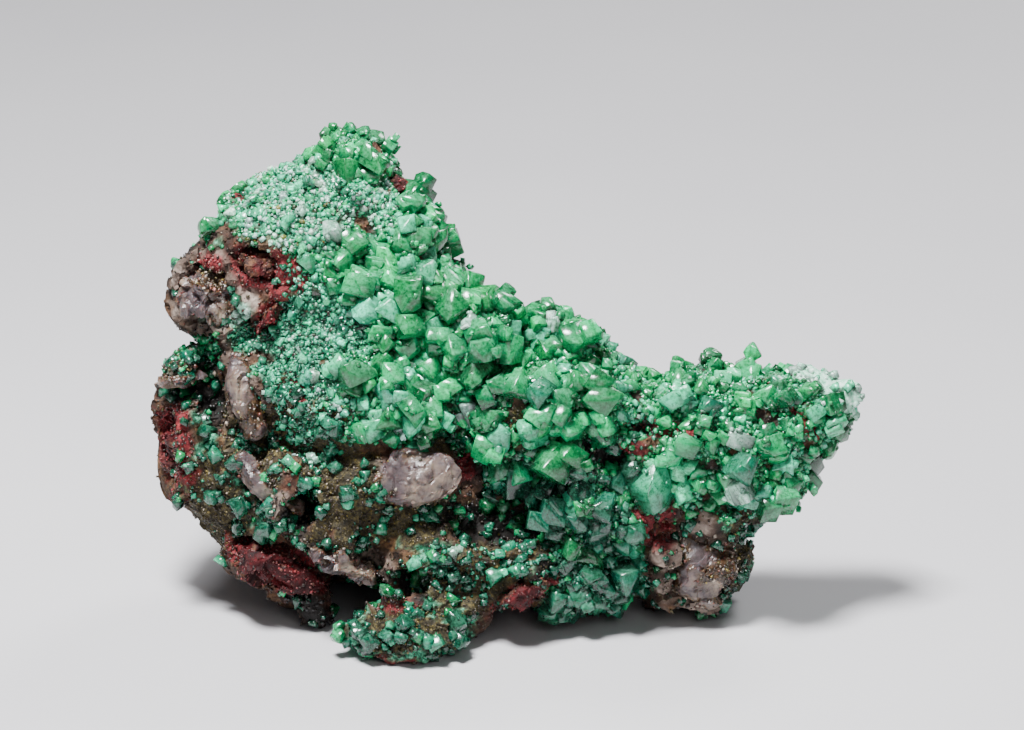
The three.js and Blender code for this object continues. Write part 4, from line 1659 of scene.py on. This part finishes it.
@dataclass
class Mass:
    """A mass of quartz or hematite that stands in the rock.

    Attributes:
        node: The solid that it stands for.
        slot: The slot of its finish.
        relief: How deep its breaks are, in mm.
        chip: The size of its breaks, in mm.
        sink: How far its surface lies inside the solid's, in mm.
        bulge: How much of its bulge out of the display face is left.
        grain: Grains on each square millimetre: of its own mineral, or of dust where quartz is stained.
        voxel: The size of its faces, in mm.
    """

    node: str
    slot: str
    relief: float = 0.5
    chip: float = 2.2
    sink: float = 0.1
    bulge: float = 1.0
    grain: float = 0.0
    voxel: float = 0.22

    def build(self, finishes: dict[str, bpy.types.Material], rock: Rock, rng: np.random.Generator) -> None:
        """Puts it in the scene.

        Args:
            finishes: The finish of each slot.
            rock: The rock round it.
            rng: The source of its variety.
        """
        mesh = remeshed(merged_copy([self.node]), self.node + "_mass", self.voxel)
        surface = Surface(mesh)
        surface.smooth(3)
        points = surface.points
        middle = (points.min(axis=0) + points.max(axis=0)) / 2
        ahead = np.maximum((points - middle) @ FACE.out, 0)
        surface.points = points - (1 - self.bulge) * ahead[:, None] * FACE.out
        surface.write()
        points = surface.points
        breaks = facets(points, self.chip, seed=5) + 0.4 * facets(points, 0.45 * self.chip, seed=6)
        surface.push(self.relief * (breaks + waves(points, 1.4 * self.chip)) - self.sink)
        points = surface.points
        away = np.array([rock.surface.tree.find_nearest(Vector(point))[3] for point in points]) / MM
        rim = soft_step(0.5 - away + 1.1 * waves(points, 1.2), 0.3)
        stain = np.maximum(rim, cover(STAINS, FACE.measure(points), 0.7 * waves(points, 1.6, 4)))
        surface.tag("stain", stain)
        dress(shown(self.node + "_mass", mesh), finishes[self.slot], self.slot, self.node)
        surface.settle()
        if self.slot == "hematite":
            tones, sizes, weights = REDS, (0.12, 0.4), np.ones(len(points))
        else:
            tones, sizes, weights = DUST, (0.14, 0.5), stain
        grains = Grains(self.node + "_grains", "", tones, self.grain, sizes)
        grains.build(surface, weights, rng, finishes["rock"])


MASSES = (
    Mass("quartz_lens", "quartz", relief=0.35, chip=2.4, sink=0.0, bulge=0.35, grain=12),
    Mass("quartz_slab", "quartz", relief=0.4, chip=2.6, sink=0.1, bulge=0.9, grain=8),
    Mass("quartz_strip", "quartz", relief=0.4, sink=0.1, bulge=0.9, grain=8),
    Mass("quartz_shoulder", "quartz", relief=0.9, chip=2.0, sink=0.5, grain=10),
    Mass("quartz_corner", "quartz", relief=0.6, chip=3.0, sink=0.3, bulge=0.8, grain=10),
    Mass("quartz_rib", "quartz", relief=0.6, chip=1.8, sink=0.3, grain=8),
    Mass("quartz_ledge", "quartz", sink=0.3, grain=8),
    Mass("hematite_peak", "hematite", grain=3),
    Mass("hematite_shoulder", "hematite", relief=0.8, sink=0.6, grain=6),
    Mass("hematite_streak", "hematite", sink=0.3, grain=6),
    Mass("hematite_wedge", "hematite", relief=0.8, chip=2.6, sink=0.3, grain=7),
    Mass("hematite_edge", "hematite", relief=0.7, sink=0.4, grain=6),
    Mass("hematite_rim", "hematite", grain=6),
    Mass("hematite_patch", "hematite", grain=6),
)


@dataclass(frozen=True)
class Lamp:
    """A soft light that faces the specimen.

    Attributes:
        name: Its name.
        at: Where it is, in metres.
        size: Its width, in metres.
        power: Its power, in watts.
    """

    name: str
    at: tuple[float, float, float]
    size: float
    power: float

    def build(self) -> None:
        """Puts the light in the scene."""
        data = bpy.data.lights.new(self.name, "AREA")
        data.size = self.size
        data.energy = self.power
        lamp = bpy.data.objects.new(self.name, data)
        bpy.context.scene.collection.objects.link(lamp)
        lamp.location = self.at
        lamp.rotation_euler = (Vector((0, 0, 0.02)) - Vector(self.at)).to_track_quat("-Z", "Y").to_euler()


@dataclass(frozen=True)
class Studio:
    """A pale floor, soft light and a camera that looks straight at the display face.

    Attributes:
        target: What the camera looks at, in mm across, up and out of the face.
        distance: How far away it stands, in mm.
        view_width: The width of the view there, in mm.
        lamps: Its lights.
        glow: The strength of the light from all round.
    """

    target: tuple[float, float, float] = (0.17, 26.4, -4.0)
    distance: float = 400.0
    view_width: float = 88.06
    lamps: tuple[Lamp, ...] = (
        Lamp("key", (-0.055, -0.06, 0.25), 0.06, 2.35),
        Lamp("front", (0.12, -0.40, 0.30), 0.25, 0.4),
        Lamp("rim", (0.20, 0.30, 0.36), 0.15, 1.6),
    )
    glow: float = 0.12

    def floor(self) -> None:
        """Lays the floor."""
        bm = bmesh.new()
        bmesh.ops.create_grid(bm, x_segments=8, y_segments=8, size=3)
        mesh = bpy.data.meshes.new("floor")
        bm.to_mesh(mesh)
        bm.free()
        floor = shown("floor", mesh)
        floor.data.materials.append(FloorFinish().material())

    def camera(self) -> None:
        """Sets up the camera."""
        data = bpy.data.cameras.new("camera")
        data.sensor_width = 36
        data.lens = data.sensor_width * self.distance / self.view_width
        data.clip_start, data.clip_end = 0.01, 20
        camera = bpy.data.objects.new("camera", data)
        bpy.context.scene.collection.objects.link(camera)
        camera.location = FACE.place(*self.target) + FACE.out * self.distance * MM
        camera.rotation_euler = Vector(-FACE.out).to_track_quat("-Z", "Y").to_euler()
        bpy.context.scene.camera = camera

    def build(self) -> None:
        """Builds the whole studio."""
        self.camera()
        self.floor()
        for lamp in self.lamps:
            lamp.build()
        world = bpy.data.worlds.new("studio")
        world.use_nodes = True
        backdrop = world.node_tree.nodes["Background"]
        backdrop.inputs["Color"].default_value = (0.82, 0.83, 0.86, 1)
        backdrop.inputs["Strength"].default_value = self.glow
        bpy.context.scene.world = world


def main() -> None:
    """Builds the specimen piece by piece."""
    logging.basicConfig(level=logging.INFO, format="%(name)s %(message)s")
    rng = np.random.default_rng(SEED)
    Studio().build()
    rock = Rock()
    rock.build(RockFinish())
    finishes = {
        "rock": GrainFinish().material(),
        "crystal": CrystalFinish().material(),
        "quartz": QuartzFinish().material(),
        "hematite": HematiteFinish().material(),
    }
    Druse(rock, rng).build(finishes["crystal"])
    for grains in GRAINS:
        grains.build(rock.surface, rock.maps[grains.ground], rng, finishes[grains.slot])
    for mass in MASSES:
        mass.build(finishes, rock, rng)


if __name__ == "__main__":
    main()
